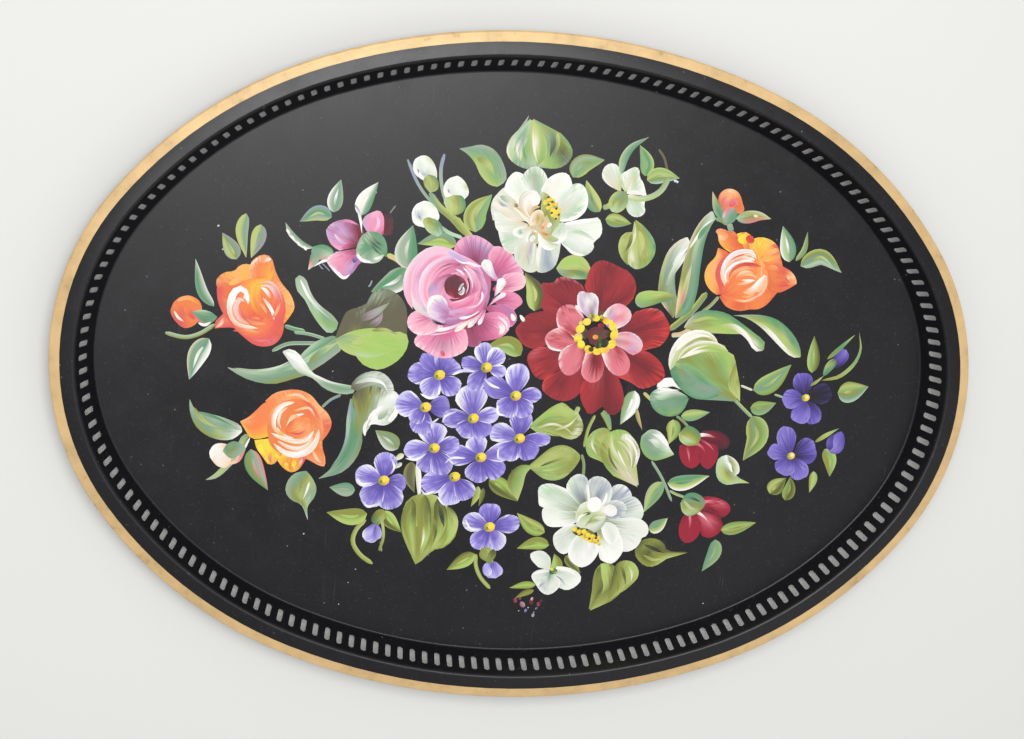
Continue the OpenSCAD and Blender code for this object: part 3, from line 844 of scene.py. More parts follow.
class TRAY_OT_orange_rose_right(PaintStep, bpy.types.Operator):
    """Paint the orange rose at the upper right"""
    bl_idname = "tray.orange_rose_right"
    bl_label = "Orange Rose, Right"
    node, slot = "orange_rose_right", "orange_paint"

    def paint(self, brush):
        petal, sweep, dab, blade = brush.petal, brush.sweep, brush.dab, brush.blade
        petal((134, 78), [(120, 86), (127, 95), (129, 96), (134, 96.8), (138, 94), (140, 90),
            (146, 84)], "oO oYoO4 YYoO6 yYoOO8 yyYOO9 yyyRe")
        petal((140, 74), [(136, 92), (142, 94.2), (146, 94.3), (152, 92.2), (156, 88), (158, 82),
            (160, 77), (158, 68)], "oO YYoO4 aYaoO6 YyaoO8 yYaoe9 yYaOee")
        petal((134, 68), [(121, 55), (125, 50), (130, 47.4), (136, 46.8), (142, 48.2), (147, 48.6),
            (152, 51.5), (156, 56.5), (159, 61)], "oo oOoo5 OoOooO7 eoOoooo9 eooooOO")
        blade([(150, 76), (156, 79), (160, 77), (166, 74), (169.5, 70), (170.5, 66.5)],
            [(150, 66), (153, 61), (159, 60), (165, 62.6)], "ooO ooO eoO eOo AoO Aae aAo")
        sweep([(160, 73), (165, 71.5), (169, 67)], 5, "O aoO A o a", "drop")
        sweep([(155, 68), (160, 66), (166, 65)], 5, "o oO e O")
        blade([(130, 82), (124, 85), (120, 86), (116.5, 90), (115.5, 94), (113.7, 96.5), (116, 98),
            (119, 97.8)], [(134, 85), (131, 90), (127, 95), (122, 96.8)],
            "Oo oO YoO YoO aoe aae oe oO")
        sweep([(116, 93.6), (119, 92), (122, 95)], 3, "A a o", "band")
        sweep([(122, 97.4), (125, 95.8), (128, 94)], 2.4, "e o e", "band")
        blade([(119.5, 56), (115, 58.5), (111, 63.5), (109.8, 69), (111.5, 75), (115.5, 80),
            (116.5, 86)], [(126, 58), (127, 66), (126, 76), (124, 83)],
            "aoee YYoee aYaOee YaaOee YaaOeo YaooO YaoO oo")
        blade([(122, 56), (119, 63), (117, 70), (119.5, 77), (124, 83), (132, 86.4), (142, 84)],
            [(130, 53), (140, 52), (148, 56), (152, 64), (149, 76)],
            "eOo eeoooo eOoooo eOoooo eoooao eooYa OoYa")
        sweep([(118.5, 64), (118, 71), (121, 78), (127, 83.5)], 3, "e e e O", "band")
        sweep([(146, 80), (152, 82), (157, 86)], 4, "a Y oa e")
        sweep([(148, 75), (154, 75.5), (160, 72)], 4, "o ao O o")
        sweep([(150, 87), (153, 89.5), (156, 88)], 3, "Y e e")
        # white crescents
        sweep([(124, 62), (121.3, 69), (122.3, 76), (126.5, 82), (133, 84.7), (139, 84.5),
            (142.3, 80.5)], 3.4, "A wA wl wlA wAw wlw www wA", "band")
        sweep([(126, 64), (123.8, 70), (126.5, 76), (133, 79.8), (141.5, 80)], 4.2,
            "Ao Aow AuA Aec cAc w", "band")
        sweep([(124.5, 63), (123.4, 70), (127, 75.4), (134, 78.6), (141.6, 78.4)], 1.6,
            "c w w c w", "band")
        sweep([(133, 82.2), (138, 82.8), (141, 81)], 1.2, "A A c", "band")
        sweep([(127, 70), (131, 74.5), (138, 76.8), (146, 76)], 2.6, "e e R e O", "band")
        sweep([(126, 65), (129, 71), (136, 74.6), (143, 74)], 2.4, "o a oa O", "band")
        sweep([(130, 66), (132, 70), (137, 72), (141, 71.4)], 2.2, "o A A a", "band")
        sweep([(132, 66), (134, 69.4), (139, 70.6), (145, 68)], 2.0, "o aA a o", "band")
        sweep([(131, 63.5), (136, 64.6), (142, 66.6)], 1.7, "a A w", "band")
        sweep([(134, 66.6), (138, 66.6), (143, 66.8)], 1.6, "A c w", "band")
        blade([(136, 58.5), (142, 62), (145.5, 67), (148.5, 71)], [(140, 57.4), (147, 59.6),
            (150.5, 65), (150.4, 70)], "a wAa wAa wAa w")
        sweep([(136, 58.6), (142, 62.4), (145.6, 67), (148.5, 70)], 1.8, "a w w w", "band")
        sweep([(131, 53.6), (139, 53.6), (147, 57.6), (150.6, 64), (150.3, 69)], 1.8, "a A Ae A a",
            "band")
        sweep([(134, 56.4), (140, 56.2), (146, 60)], 1.8, "o a e", "band")
        dab((132.5, 92.5), (8, 6), "y yY Y", 10)
        dab((136.6, 92.5), (5, 6), "O R e", 60)


class TRAY_OT_orange_rose_upper_left(PaintStep, bpy.types.Operator):
    """Paint the orange rose at the upper left"""
    bl_idname = "tray.orange_rose_upper_left"
    bl_label = "Orange Rose, Upper Left"
    node, slot = "orange_rose_upper_left", "orange_paint"

    def paint(self, brush):
        petal, sweep, dab, blade = brush.petal, brush.sweep, brush.dab, brush.blade
        petal((-166, 36), [(-190, 38), (-191.5, 45), (-187, 50), (-181, 51.5), (-178, 55),
            (-172, 56), (-168, 52)], "eoo eoYo4 eoaYo6 eaYao8 eoYaYa9 eeoaYY")
        petal((-164, 38), [(-173, 48), (-171, 58), (-166, 62), (-162, 62.4), (-159, 60),
            (-157, 54), (-154, 48), (-150, 43)], "oo ooYo4 aoYo6 aooo8 aAAooo9 oaaoao")
        sweep([(-172.5, 50), (-171, 56), (-167, 60.5)], 1.4, "a A w", "band")
        sweep([(-165, 57), (-162, 59.5), (-159.6, 60)], 2.4, "o A w", "drop")
        petal((-164, 32), [(-158, 50), (-153, 45.5), (-148, 41), (-145, 36), (-143.8, 31),
            (-146, 26), (-150, 20)], "oOo eoYo4 ooaoo7 oaYaYo9 oaaYYo")
        petal((-166, 30), [(-150, 24), (-149.5, 18), (-151, 12), (-155, 7.6), (-161, 6), (-167, 7),
            (-173, 11), (-179, 16)], "eOe oeOe4 oOeee7 OeTeeo9 Oeeeee")
        blade([(-172, 14), (-180, 16.5), (-186, 16.2), (-191, 15.4)],
            [(-176, 24), (-184, 28), (-187, 24), (-190.6, 20)], "eo eoO eoe eTO eO", drag=0.1)
        sweep([(-190, 16), (-187, 19), (-186, 23)], 2, "a A e", "band")
        blade([(-182, 20), (-187, 26), (-190, 33), (-191, 40)], [(-180, 30), (-182, 38),
            (-187, 43)], "eO eoO eeo ee")
        sweep([(-190, 36), (-185, 33), (-180, 31)], 3, "e o O", "comma")
        blade([(-179, 16), (-184, 24), (-184, 34), (-180, 42), (-172, 47), (-162, 48)],
            [(-170, 10), (-160, 10), (-152, 18), (-149, 28), (-152, 40)],
            "ee eooe eoOoe eooOee oYoooe oYooo YYo", drag=0.1)
        sweep([(-164, 46), (-168, 40), (-166, 30), (-160, 24)], 7, "Y oY oO Oo", "band")
        # white crescents
        sweep([(-171.5, 33), (-173, 38.5), (-176.5, 41), (-180, 39), (-182, 33), (-181.6, 26),
            (-178.4, 20.5), (-173, 17.6), (-165, 17)], 4.6,
            "wwA www wwww wwwA wwAu wAAe wcAe wAe wA", "band")
        sweep([(-174, 33), (-176.5, 34.5), (-179, 31), (-179, 26), (-176, 21.5), (-170, 19)], 4,
            "Au uA Aue eua Aae ea", "band")
        sweep([(-174, 37.5), (-172, 34), (-171.8, 31.6)], 3.4, "w w w A", "comma")
        sweep([(-176, 29), (-174, 24), (-168, 20.5), (-160, 20)], 2.2, "T e a e", "band")
        sweep([(-174, 29), (-171, 24.5), (-164, 23)], 2, "o e a", "band")
        sweep([(-180, 14.6), (-172, 15.6), (-162, 14)], 1.6, "e a e", "band")
        for spine, width, paint in (
                ([(-166, 44.8), (-160, 46), (-156, 43), (-152.6, 37), (-151.6, 31)], 2.2,
                    "a u uT Te e"),
                ([(-165, 43.4), (-160, 43.4), (-155.6, 38), (-154, 33)], 2, "A u T e"),
                ([(-164.6, 42.6), (-161.6, 40.6), (-158.6, 36)], 2.2, "w w u a"),
                ([(-163, 36), (-159.6, 32), (-157, 28), (-155.6, 23)], 2.0, "A w w u"),
                ([(-168, 34), (-163, 31), (-160, 26)], 1.8, "o a o"),
                ([(-158, 22), (-155, 27), (-152, 34)], 1.8, "e a e"),
                ([(-172, 11.4), (-163, 9.4), (-154, 12)], 1.6, "e T e")):
            sweep(spine, width, paint, "band")
        sweep([(-184, 43), (-178, 46), (-171, 46)], 3.4, "Y a Yo o")


class TRAY_OT_orange_rose_lower_left(PaintStep, bpy.types.Operator):
    """Paint the orange and yellow rose at the lower left"""
    bl_idname = "tray.orange_rose_lower_left"
    bl_label = "Orange Rose, Lower Left"
    node, slot = "orange_rose_lower_left", "orange_paint"

    def paint(self, brush):
        petal, sweep, dab, blade = brush.petal, brush.sweep, brush.dab, brush.blade
        petal((-140, -50), [(-150, -62), (-147, -67), (-143, -71), (-139, -72.5), (-135, -70.5),
            (-132, -66), (-130, -61)], "Yo YyoYe4 yYoYee7 yYOYeT9 YyoYee")
        petal((-145, -50), [(-163, -53), (-161.5, -58), (-157, -64), (-153.5, -68), (-150, -67.5),
            (-147.5, -64), (-145, -60)], "yy yyYa4 yyyYo7 yYYYaO9 yYYYee")
        petal((-134, -50), [(-132, -63), (-128, -64.5), (-123, -67), (-119, -67.6), (-119, -62),
            (-121, -56), (-121.5, -50)], "oo eoo4 oaoo8 aooa9 eaao")
        blade([(-150, -28), (-158, -29), (-163, -34), (-168, -39), (-172.5, -41.6)],
            [(-146, -44), (-152, -49), (-160, -52), (-165, -52), (-169, -47)],
            "oao ooYY oooYY oooY aoY aY", drag=0.1)
        petal((-138, -45), [(-158, -28), (-153, -23), (-145, -20.3), (-137, -20), (-130, -23),
            (-125, -28.5), (-119, -34), (-116.4, -40), (-118, -46), (-122, -52)],
            "oooo oaooo4 oaoaeo7 oooaaoo9 oaoaaaeo")
        brush.blade([(-156, -44), (-153, -32), (-143, -26), (-132, -27), (-124, -35), (-121, -45)],
            [(-153, -56), (-143, -62), (-132, -61), (-124, -54)], "oo aoo oooo ooao eoao aoo aa",
            drag=0.1)
        # white crescents
        sweep([(-140, -27.6), (-147, -30), (-151.6, -36), (-152, -43), (-149, -48.5)], 3.6,
            "wA wwA wwAo wAo Aa", "band")
        sweep([(-144, -31), (-148, -35), (-149, -41), (-147, -45)], 1.6, "A c A a", "band")
        sweep([(-146, -24), (-138, -23), (-131, -27)], 1.8, "a A a", "band")
        sweep([(-140, -33), (-131, -31), (-127, -36)], 1.6, "a A o", "band")
        sweep([(-153, -48), (-147, -50.6), (-138, -52.6), (-131, -51), (-127, -45)], 3,
            "w wY Ac Ac w A", "band")
        sweep([(-151, -54.6), (-144, -60), (-136, -61), (-129, -57.6), (-125, -51), (-124, -44)],
            4.2, "Aw wwA www wwA wAw wA A", "band")
        sweep([(-149, -52.6), (-142, -56.4), (-135, -57), (-129.4, -53.6), (-127, -47)], 2.8,
            "A cA wA cA A o", "band")
        sweep([(-144, -43), (-141.6, -38.6), (-138, -36), (-133.6, -34.8)], 1.7, "A w w c", "band")
        sweep([(-143, -40), (-140, -36.6), (-135, -38)], 2.4, "A a o", "band")
        brush.blade([(-145, -46), (-142, -40), (-136, -37), (-130, -38)],
            [(-140, -50.5), (-133, -49), (-130, -44)], "oO Ooo oao ooa ae", drag=0.1)
        sweep([(-142, -47), (-136, -47.6), (-130, -43.6)], 1.5, "O e a", "band")
        sweep([(-150, -44), (-146, -48.5), (-139, -50.6)], 1.4, "c A c", "band")
        dab((-148, -47.4), (6, 2.6), "A Y a", -30)
        for spine, width, paint in (
                ([(-143, -66), (-142, -70), (-140, -71.5)], 2.6, "y Y y"),
                ([(-138, -64), (-138, -68), (-137, -71)], 2.6, "Y y a"),
                ([(-153, -60), (-153, -64), (-152, -67)], 2.4, "Y T e"),
                ([(-160, -55), (-158, -60), (-155, -63.5)], 3.4, "y y Y"),
                ([(-127, -58), (-124, -63), (-120.4, -66.4)], 2, "a A e"),
                ([(-133, -62), (-134, -66), (-134.6, -69)], 2, "T A e"),
                ([(-150, -60.5), (-148, -63), (-145, -63)], 2, "y y Y")):
            sweep(spine, width, paint)


class TRAY_OT_orange_buds(PaintStep, bpy.types.Operator):
    """Paint the orange buds and the pale one at the lower left"""
    bl_idname = "tray.orange_buds"
    bl_label = "Orange Buds"
    node, slot = "orange_buds", "orange_paint"

    def paint(self, brush):
        sweep, dab, blade = brush.sweep, brush.dab, brush.blade
        blade([(116, 109), (113.5, 114), (113.6, 119), (117, 122.6), (121.6, 123.2), (125, 121.8)],
            [(124, 107.5), (130.6, 110), (129, 115), (127, 119.6)], "ee eoo oToo aaeo aaoo aao a",
            drag=0.1)
        sweep([(118, 121.5), (122, 121.8), (125.5, 118)], 2.4, "A a o", "band")
        sweep([(121, 112), (124, 116), (126.6, 113)], 4, "e T o")
        sweep([(117, 104), (113, 111), (109, 120.6)], 5.6, "HGH mGH mjZ iI")
        sweep([(126, 105), (134, 106.5), (141, 107.5), (148.5, 106.4)], 8, "HhH jJT iJT ijT i")
        dab((138.6, 107.4), (3, 1.6), "c I", -10)
        dab((121.5, 106.5), (11.5, 9.6), "HmG SmGH TSHG TmG", 60)
        sweep([(117.6, 104.6), (119, 109), (122.6, 111)], 1.6, "i T m", "band")
        sweep([(122, 101.4), (123, 99), (124, 96.6)], 3.6, "m H", "stem")
        # bud at the far left
        blade([(-200, 20), (-204, 16), (-209, 14.6), (-214, 18), (-217.6, 24), (-216, 30)],
            [(-199, 27), (-201, 32), (-206, 34.4), (-212, 33.6)], "oo oooo eooo eeoo eooo ooo o",
            drag=0.1)
        sweep([(-214, 31), (-207, 33.4), (-201, 30)], 2.6, "a oY o", "band")
        sweep([(-215.6, 25), (-213, 21), (-209.4, 18.4)], 1.6, "A w T", "band")
        sweep([(-210, 27), (-206, 24), (-203, 20)], 4, "o e O", "band")
        blade([(-189.6, 22.6), (-194, 25.6), (-200, 26.4), (-205, 24.6)],
            [(-191.4, 20), (-195.6, 17.6), (-200, 18.6)], "GH HGG hHGT hGT HH")
        sweep([(-201, 18.4), (-197, 17.2), (-193, 19.4)], 1.8, "w w h", "band")
        # pale bud at the lower left
        blade([(-177, -57.6), (-182, -56), (-187, -57), (-189.6, -61), (-189.4, -65.4)],
            [(-177, -69), (-180, -71.6), (-185, -70.4)], "AS Ac wcA wcc wA c", drag=0.1)
        sweep([(-187, -58), (-189, -62), (-187.6, -67)], 2, "w w c", "band")
        brush.blade([(-172, -55), (-176, -54.4), (-180, -57), (-182, -61)],
            [(-168, -58), (-171, -63), (-177, -65.4)], "Hm GHm HJm GH m")
        sweep([(-177, -69), (-172, -66), (-168, -59)], 2.4, "A T m")


class TRAY_OT_white_peony(PaintStep, bpy.types.Operator):
    """Paint the upper white peony with its curled heart and yellow stamens"""
    bl_idname = "tray.white_peony"
    bl_label = "White Peony"
    node, slot = "white_peony", "white_paint"

    def paint(self, brush):
        petal, sweep, dab = brush.petal, brush.sweep, brush.dab
        petal((-3, 94), [(-27, 93), (-29, 101), (-28, 106), (-26, 109), (-21, 114), (-14, 113)],
            "ici VcicI5 VVcVc7 iVVcV9 cvcVV")
        petal((-3, 98), [(-22, 112), (-20, 119), (-16, 123.5), (-12, 123), (-8, 120.5), (-2, 112)],
            "vVv vVvm6 vvvh8 wvvvv")
        petal((-1, 102), [(-12, 120), (-9, 125), (-5, 127.7), (-1, 127.3), (2, 125), (5, 119),
            (3, 112)], "vmv vmhv6 hmhvv8 vhvwv9 wwwww")
        petal((5, 100), [(1, 114), (4, 120), (8, 123.5), (13, 125.3), (17, 124.5), (20, 119),
            (21, 112)], "vcv VcvV5 vwcwV8 wwwwcw9 wwwww")
        petal((-4, 92), [(-27, 99), (-26, 93), (-25, 89), (-22, 85), (-20, 80)],
            "IiV cVVi5 VVcV8 Vvvw9 vwww")
        petal((-4, 88), [(-23, 86), (-21, 80), (-18, 75.5), (-14, 73.2), (-9, 74)],
            "iVi VhVV5 VhViV8 VvhVV9 wwvcV")
        petal((-1, 88), [(-13, 76), (-11, 70), (-9, 67), (-5, 63.5), (-1, 62.3), (3, 63.7),
            (4, 70)], "iiV VihV5 VViVi7 vhVVis9 hvVVVi")
        petal((3, 90), [(2, 70), (2, 64.5), (5, 62.6), (10, 63.7), (14, 67), (16, 74), (16.5, 84)],
            "ivi iVsVv4 cVsVVv6 vVsVVV8 wiVsVVw")
        sweep([(4, 84), (3, 74), (3.5, 65)], 2.6, "c c v i", "band")
        sweep([(-1, 86), (-2, 78), (-1, 66)], 5, "wVi vSV cVS hVV", "band")
        sweep([(-4, 84), (-8, 78), (-9, 70)], 4, "c iV ViV h", "band")
        petal((9, 92), [(19, 95), (28, 97.6), (34, 98.5), (38.5, 99.3), (41, 95), (41.6, 90),
            (40, 86.5), (37, 84), (37.5, 80), (34, 76), (30, 74.5), (24, 76), (17.5, 81)],
            "iVVhVi wVvVvVh4 wwVvvVhV6 wvwvvwVvw8 wvhvwvhhww")
        sweep([(18, 90), (28, 89.5), (38, 85)], 2.2, "v h V v", "band")
        sweep([(17, 94), (27, 96), (37, 98)], 2.2, "w w w c", "band")
        sweep([(19, 80.5), (25, 76.3), (32, 75.4)], 1.8, "w w w", "band")
        petal((10, 98), [(12, 104), (15, 111), (19, 117.5), (23, 119.5), (27, 118.5), (30, 114),
            (31, 109), (29, 103), (25, 98.5), (20, 95.7), (15, 95.2)],
            "ViV vVVhv4 vhvhhv6 wvhvvvw8 wwvvwww9 wwwwwwww")
        sweep([(15, 95.6), (23, 97.6), (29, 103), (31, 110)], 2.0, "w w w w", "band")
        sweep([(12, 106), (16, 112), (19, 117)], 1.4, "V V w", "band")
        sweep([(-28, 104), (-22, 100), (-15, 97), (-7, 95.5)], 5, "c ci ic cI", "band")
        sweep([(-26, 106.5), (-22, 103), (-18, 102)], 1.8, "V s V", "band")
        sweep([(-24, 108), (-18, 106), (-13, 103.5)], 4, "m Vm iV I", "band")
        dab((4, 90), (22, 17), "Ji Iij IiJ jJ", 40)
        # round petals near the heart
        brush.blade([(9, 84), (11.5, 90), (14, 94), (17, 95), (19, 92)],
            [(12, 81.5), (17, 82.5), (19.8, 87)], "Vv hvw VhVw hVVw Vv")
        petal((-1, 91), [(-10, 90.5), (-13.5, 88.5), (-14, 85.5), (-10, 83.5), (-5, 82.5)],
            "IiV cVV5 VwV8 wwc")
        dab((-9.5, 87), (4, 3), "V m V", 20)
        sweep([(-4, 81), (-5, 84), (-3.5, 87.5), (-1, 89)], 2.2, "w c c I", "band")
        dab((-1.5, 83.6), (4.4, 3.4), "v V w", 60)
        sweep([(2, 84.5), (5, 80.5), (9, 78.3), (13, 79)], 3.2, "w vc vw c", "band")
        sweep([(1.5, 87), (5, 83), (10, 80), (15, 80.5)], 3.6, "w Vv jv m", "band")
        sweep([(2, 90), (6, 86), (11, 84), (15, 84)], 4.4, "Ii jI jm Vm", "band")
        # inner curl
        brush.blade([(-3.5, 95), (-9, 99), (-12, 104.5), (-11, 110), (-6, 113.3), (-1, 112.3),
            (1.3, 108)], [(-3, 99), (-3, 103), (0.5, 105)], "Icc ici iwc cww wwc wcw")
        sweep([(-3.5, 96.5), (-5, 102), (-5.5, 107), (-3.5, 110)], 3.6, "I ci cv w", "band")
        sweep([(-14, 104.5), (-11, 100), (-7, 96), (-3, 91)], 1.8, "I I c I", "band")
        sweep([(-15.5, 102), (-11, 99), (-5, 93)], 1.5, "c c c", "band")
        dab((-13.6, 103.2), (3.4, 2.2), "I Z I", -30)
        # stamens
        sweep([(10, 90), (11.5, 95), (9.5, 101), (5.5, 107), (2, 112.5)], 8,
            "mj Jj JjJ JjJ jJj vj", "band")
        sweep([(2, 96), (4.5, 102), (2.5, 107)], 5, "J jJ j", "band")
        for spot, size, turn in (
                ((4.5, 106.5), 3.2, 60), ((6.8, 108.6), 3, 30), ((8, 105.2), 3.4, 50),
                ((9.4, 102), 3.2, 80), ((11.2, 105.6), 2.6, 20), ((11, 101), 3.4, 40),
                ((13, 100.4), 3, 0), ((12, 97.8), 3, 60), ((10, 99), 3, 20), ((9, 108), 2.4, 0),
                ((13, 102.6), 2.4, 50), ((6.4, 103.2), 2.6, 40)):
            dab(spot, (size * 1.1, size * 0.9), "y yY j", turn)
        for spot in (
                (6, 109.6), (6.6, 105), (9, 100.2), (11.6, 103), (13.4, 99.4), (8.6, 107),
                (11.8, 96.8)):
            dab(spot, (1.7, 1.3), "z k", 30)
        # looped heart
        brush.blade([(-4, 91), (-4.5, 96), (-2, 100.5), (2, 101.5), (4.4, 98.5)],
            [(-1, 91), (3, 92), (5, 95)], "IcI cIi iIJ cIi cI")
        sweep([(-3.5, 91.5), (-3.6, 96), (-1.5, 99.8), (2, 100.9), (4, 99)], 1.5, "c c A c c",
            "band")
        sweep([(0.5, 92), (1.5, 96), (0, 99)], 3, "I JI I", "band")
        sweep([(-4, 99), (-2, 102.5), (1.5, 103.5)], 1.8, "I I I", "band")
        dab((5.4, 92.6), (4.2, 2.6), "A a I", 10)
        dab((3.8, 91), (3.2, 2.2), "I o I", -20)
        dab((8.2, 92.6), (3.6, 2.4), "w w c", 40)
        sweep([(2, 88.5), (5, 87), (9, 86.6)], 1.4, "I O I", "band")
        sweep([(-3, 91), (-1, 88.5), (2, 87.5)], 1.4, "I c I", "band")


class TRAY_OT_white_anemone(PaintStep, bpy.types.Operator):
    """Paint the lower white flower with its olive heart and yellow stamens"""
    bl_idname = "tray.white_anemone"
    bl_label = "White Anemone"
    node, slot = "white_anemone", "white_paint"

    def paint(self, brush):
        petal, sweep, dab = brush.petal, brush.sweep, brush.dab
        petal((56, -94), [(64, -74.5), (66, -71.5), (70, -70.3), (74, -71.5), (78, -76),
            (79, -82)], "Js ssV5 sVsv8 wwwvw")
        petal((55, -93), [(63, -97), (73, -99), (81, -97), (86, -93.5), (87.5, -89), (86.5, -85),
            (83, -80), (79, -78), (74, -78.5), (68, -83)], "zJs msms4 hsVsm6 VmVVs8 vwhwVw")
        petal((56, -96), [(68, -93.6), (80, -92), (87, -93.5), (91, -97), (92, -101), (91, -104),
            (88, -105.5), (87, -109), (84, -113), (78, -115.4), (72, -113), (66, -107.6)],
            "JzJ vVvV4 cvvVvV6 cwvvwVv8 cwwwvwwc")
        petal((56, -98), [(71, -101), (75, -107), (76.5, -114), (74, -120), (70, -123.6),
            (66, -123), (62, -121), (60.5, -116), (60, -107)], "zJz vVvV4 vVvwVv6 wwvwVw8 wwwwwww")
        petal((50, -98), [(38, -98.5), (33, -102.5), (30, -106), (30.5, -112), (34, -117),
            (38, -118.6), (42, -116), (46, -110), (48, -103)], "Jmv vVvV4 vVVvV6 wvVvww8 wwvwwww")
        petal((49, -93), [(40, -84), (32, -85.5), (25, -86.5), (21.5, -88.5), (21, -92),
            (22.5, -97), (26, -100.3), (33, -100.5), (41, -99)],
            "zmi vVvV4 vVvvV6 wvVvww8 wwvvwww")
        petal((49, -90), [(44, -81), (39, -77), (35, -75), (31, -73.5), (25, -72), (20, -72.7),
            (17.3, -75), (17.8, -82), (19, -87), (25, -88.5), (36, -89)],
            "zmJ VhVhv4 vVhVvV6 wwVhvVw8 wwwvvwww")
        petal((51, -90), [(38, -79), (35, -74), (36, -70), (38, -67), (42, -64.8), (46, -65.5),
            (49, -69), (51, -77)], "Jzs VsVs5 vhVsV7 wvVsVw9 wwvvwww")
        petal((54, -90), [(48, -76), (48.5, -70), (52, -66.3), (56, -65.7), (60, -67), (64, -71),
            (65.5, -76), (64, -84)], "Jzs sVsVs5 VsVsVv7 vVsVVw9 wvvwwww")
        petal((51, -101), [(45, -106), (41, -112), (40.5, -118), (42, -122), (46, -125.5),
            (50, -127), (55, -125), (59, -120), (60.5, -115), (59, -109), (57, -104)],
            "VVV vVwV4 wVwVw6 wwvwww8 wwwwwww", 0.1)
        petal((56, -90), [(60, -92), (67, -94), (74, -91), (76, -86), (73, -82), (66, -81),
            (60, -85)], "sVs msV5 VsVV8 wVwww")
        brush.blade([(60, -96), (61, -102), (64, -108), (69, -111.5)],
            [(66, -96), (71, -99), (73, -105)], "vV wVv wVw ww")
        sweep([(62, -76), (61, -82), (58, -87)], 1.8, "w w V", "band")
        sweep([(49, -71), (50, -78), (51, -86)], 1.6, "w w V", "band")
        # heart
        brush.blade([(43, -90), (46, -84.5), (52, -82), (59, -83.5), (64, -88)],
            [(43.5, -97), (48, -102.5), (55, -104), (62, -98)], "iV vjV VjhVi vVjVm Vvim jVJ",
            drag=0.1)
        dab((54.5, -84.5), (10.5, 9.5), "w ww w", 80)
        dab((65.5, -88), (9.5, 7.6), "w wwc w", 150)
        dab((50, -91), (6, 2), "z k J", 15)
        sweep([(44.6, -97), (46, -93), (51, -90.6)], 1.6, "v w j", "band")
        sweep([(50, -100), (54, -96), (61, -95)], 3.4, "jv Jj vw")
        sweep([(52, -97), (56, -92.6), (63, -93)], 2.6, "J jv v")
        sweep([(42, -103.5), (47, -103.2), (53, -105), (60, -110)], 6.6, "z Jk zj kJ J", "band")
        for spot, size, turn in (
                ((43.5, -101.6), 3, 30), ((46.6, -103.4), 3.4, 0), ((50, -103), 3.4, -20),
                ((49, -106), 3, 30), ((52.6, -105.2), 3.2, -30), ((55.6, -106.2), 3.4, -40),
                ((57.4, -108.8), 3.2, -60), ((54.6, -109), 2.6, 0), ((59.6, -106.6), 2.6, 20),
                ((51.8, -108), 2.2, 0), ((60, -110.4), 2.4, -50)):
            dab(spot, (size * 1.2, size), "y yY J", turn)
        for spot in (
                (44.8, -104.6), (48.2, -104.8), (53.6, -107.4), (57.8, -106.8), (51.4, -101.6),
                (45.6, -100.6)):
            dab(spot, (1.8, 1.4), "k z", 20)


class VioletStep(PaintStep):
    """What both sprays of violets share."""

    def petals(self, brush, eye, petals):
        """Petals pulled towards an eye: tip, width and the way they are loaded."""
        for tip, width, paint in petals:
            heart, tip = Vector(eye), Vector(tip)
            ahead = tip - heart
            side = Vector((-ahead.y, ahead.x)).normalized() * width / 2
            rim = [heart + ahead * along * brush.hand.uniform(0.96, 1.03) + side * wide
                   for along, wide in ((0.36, 0.82), (0.62, 1.14), (0.88, 0.94), (1.0, 0.5),
                                       (1.03, 0.0), (0.99, -0.48), (0.88, -0.92),
                                       (0.62, -1.14), (0.36, -0.8))]
            brush.petal(heart, rim, getattr(self, paint), 0.3)
            if paint == "WHITE":
                for turn in (-0.4, 0.1, 0.5):
                    brush.sweep([heart + ahead * 0.88 + side * turn,
                                 heart + ahead * 0.4 + side * turn * 0.5], 1.3, "B n N", "comma")


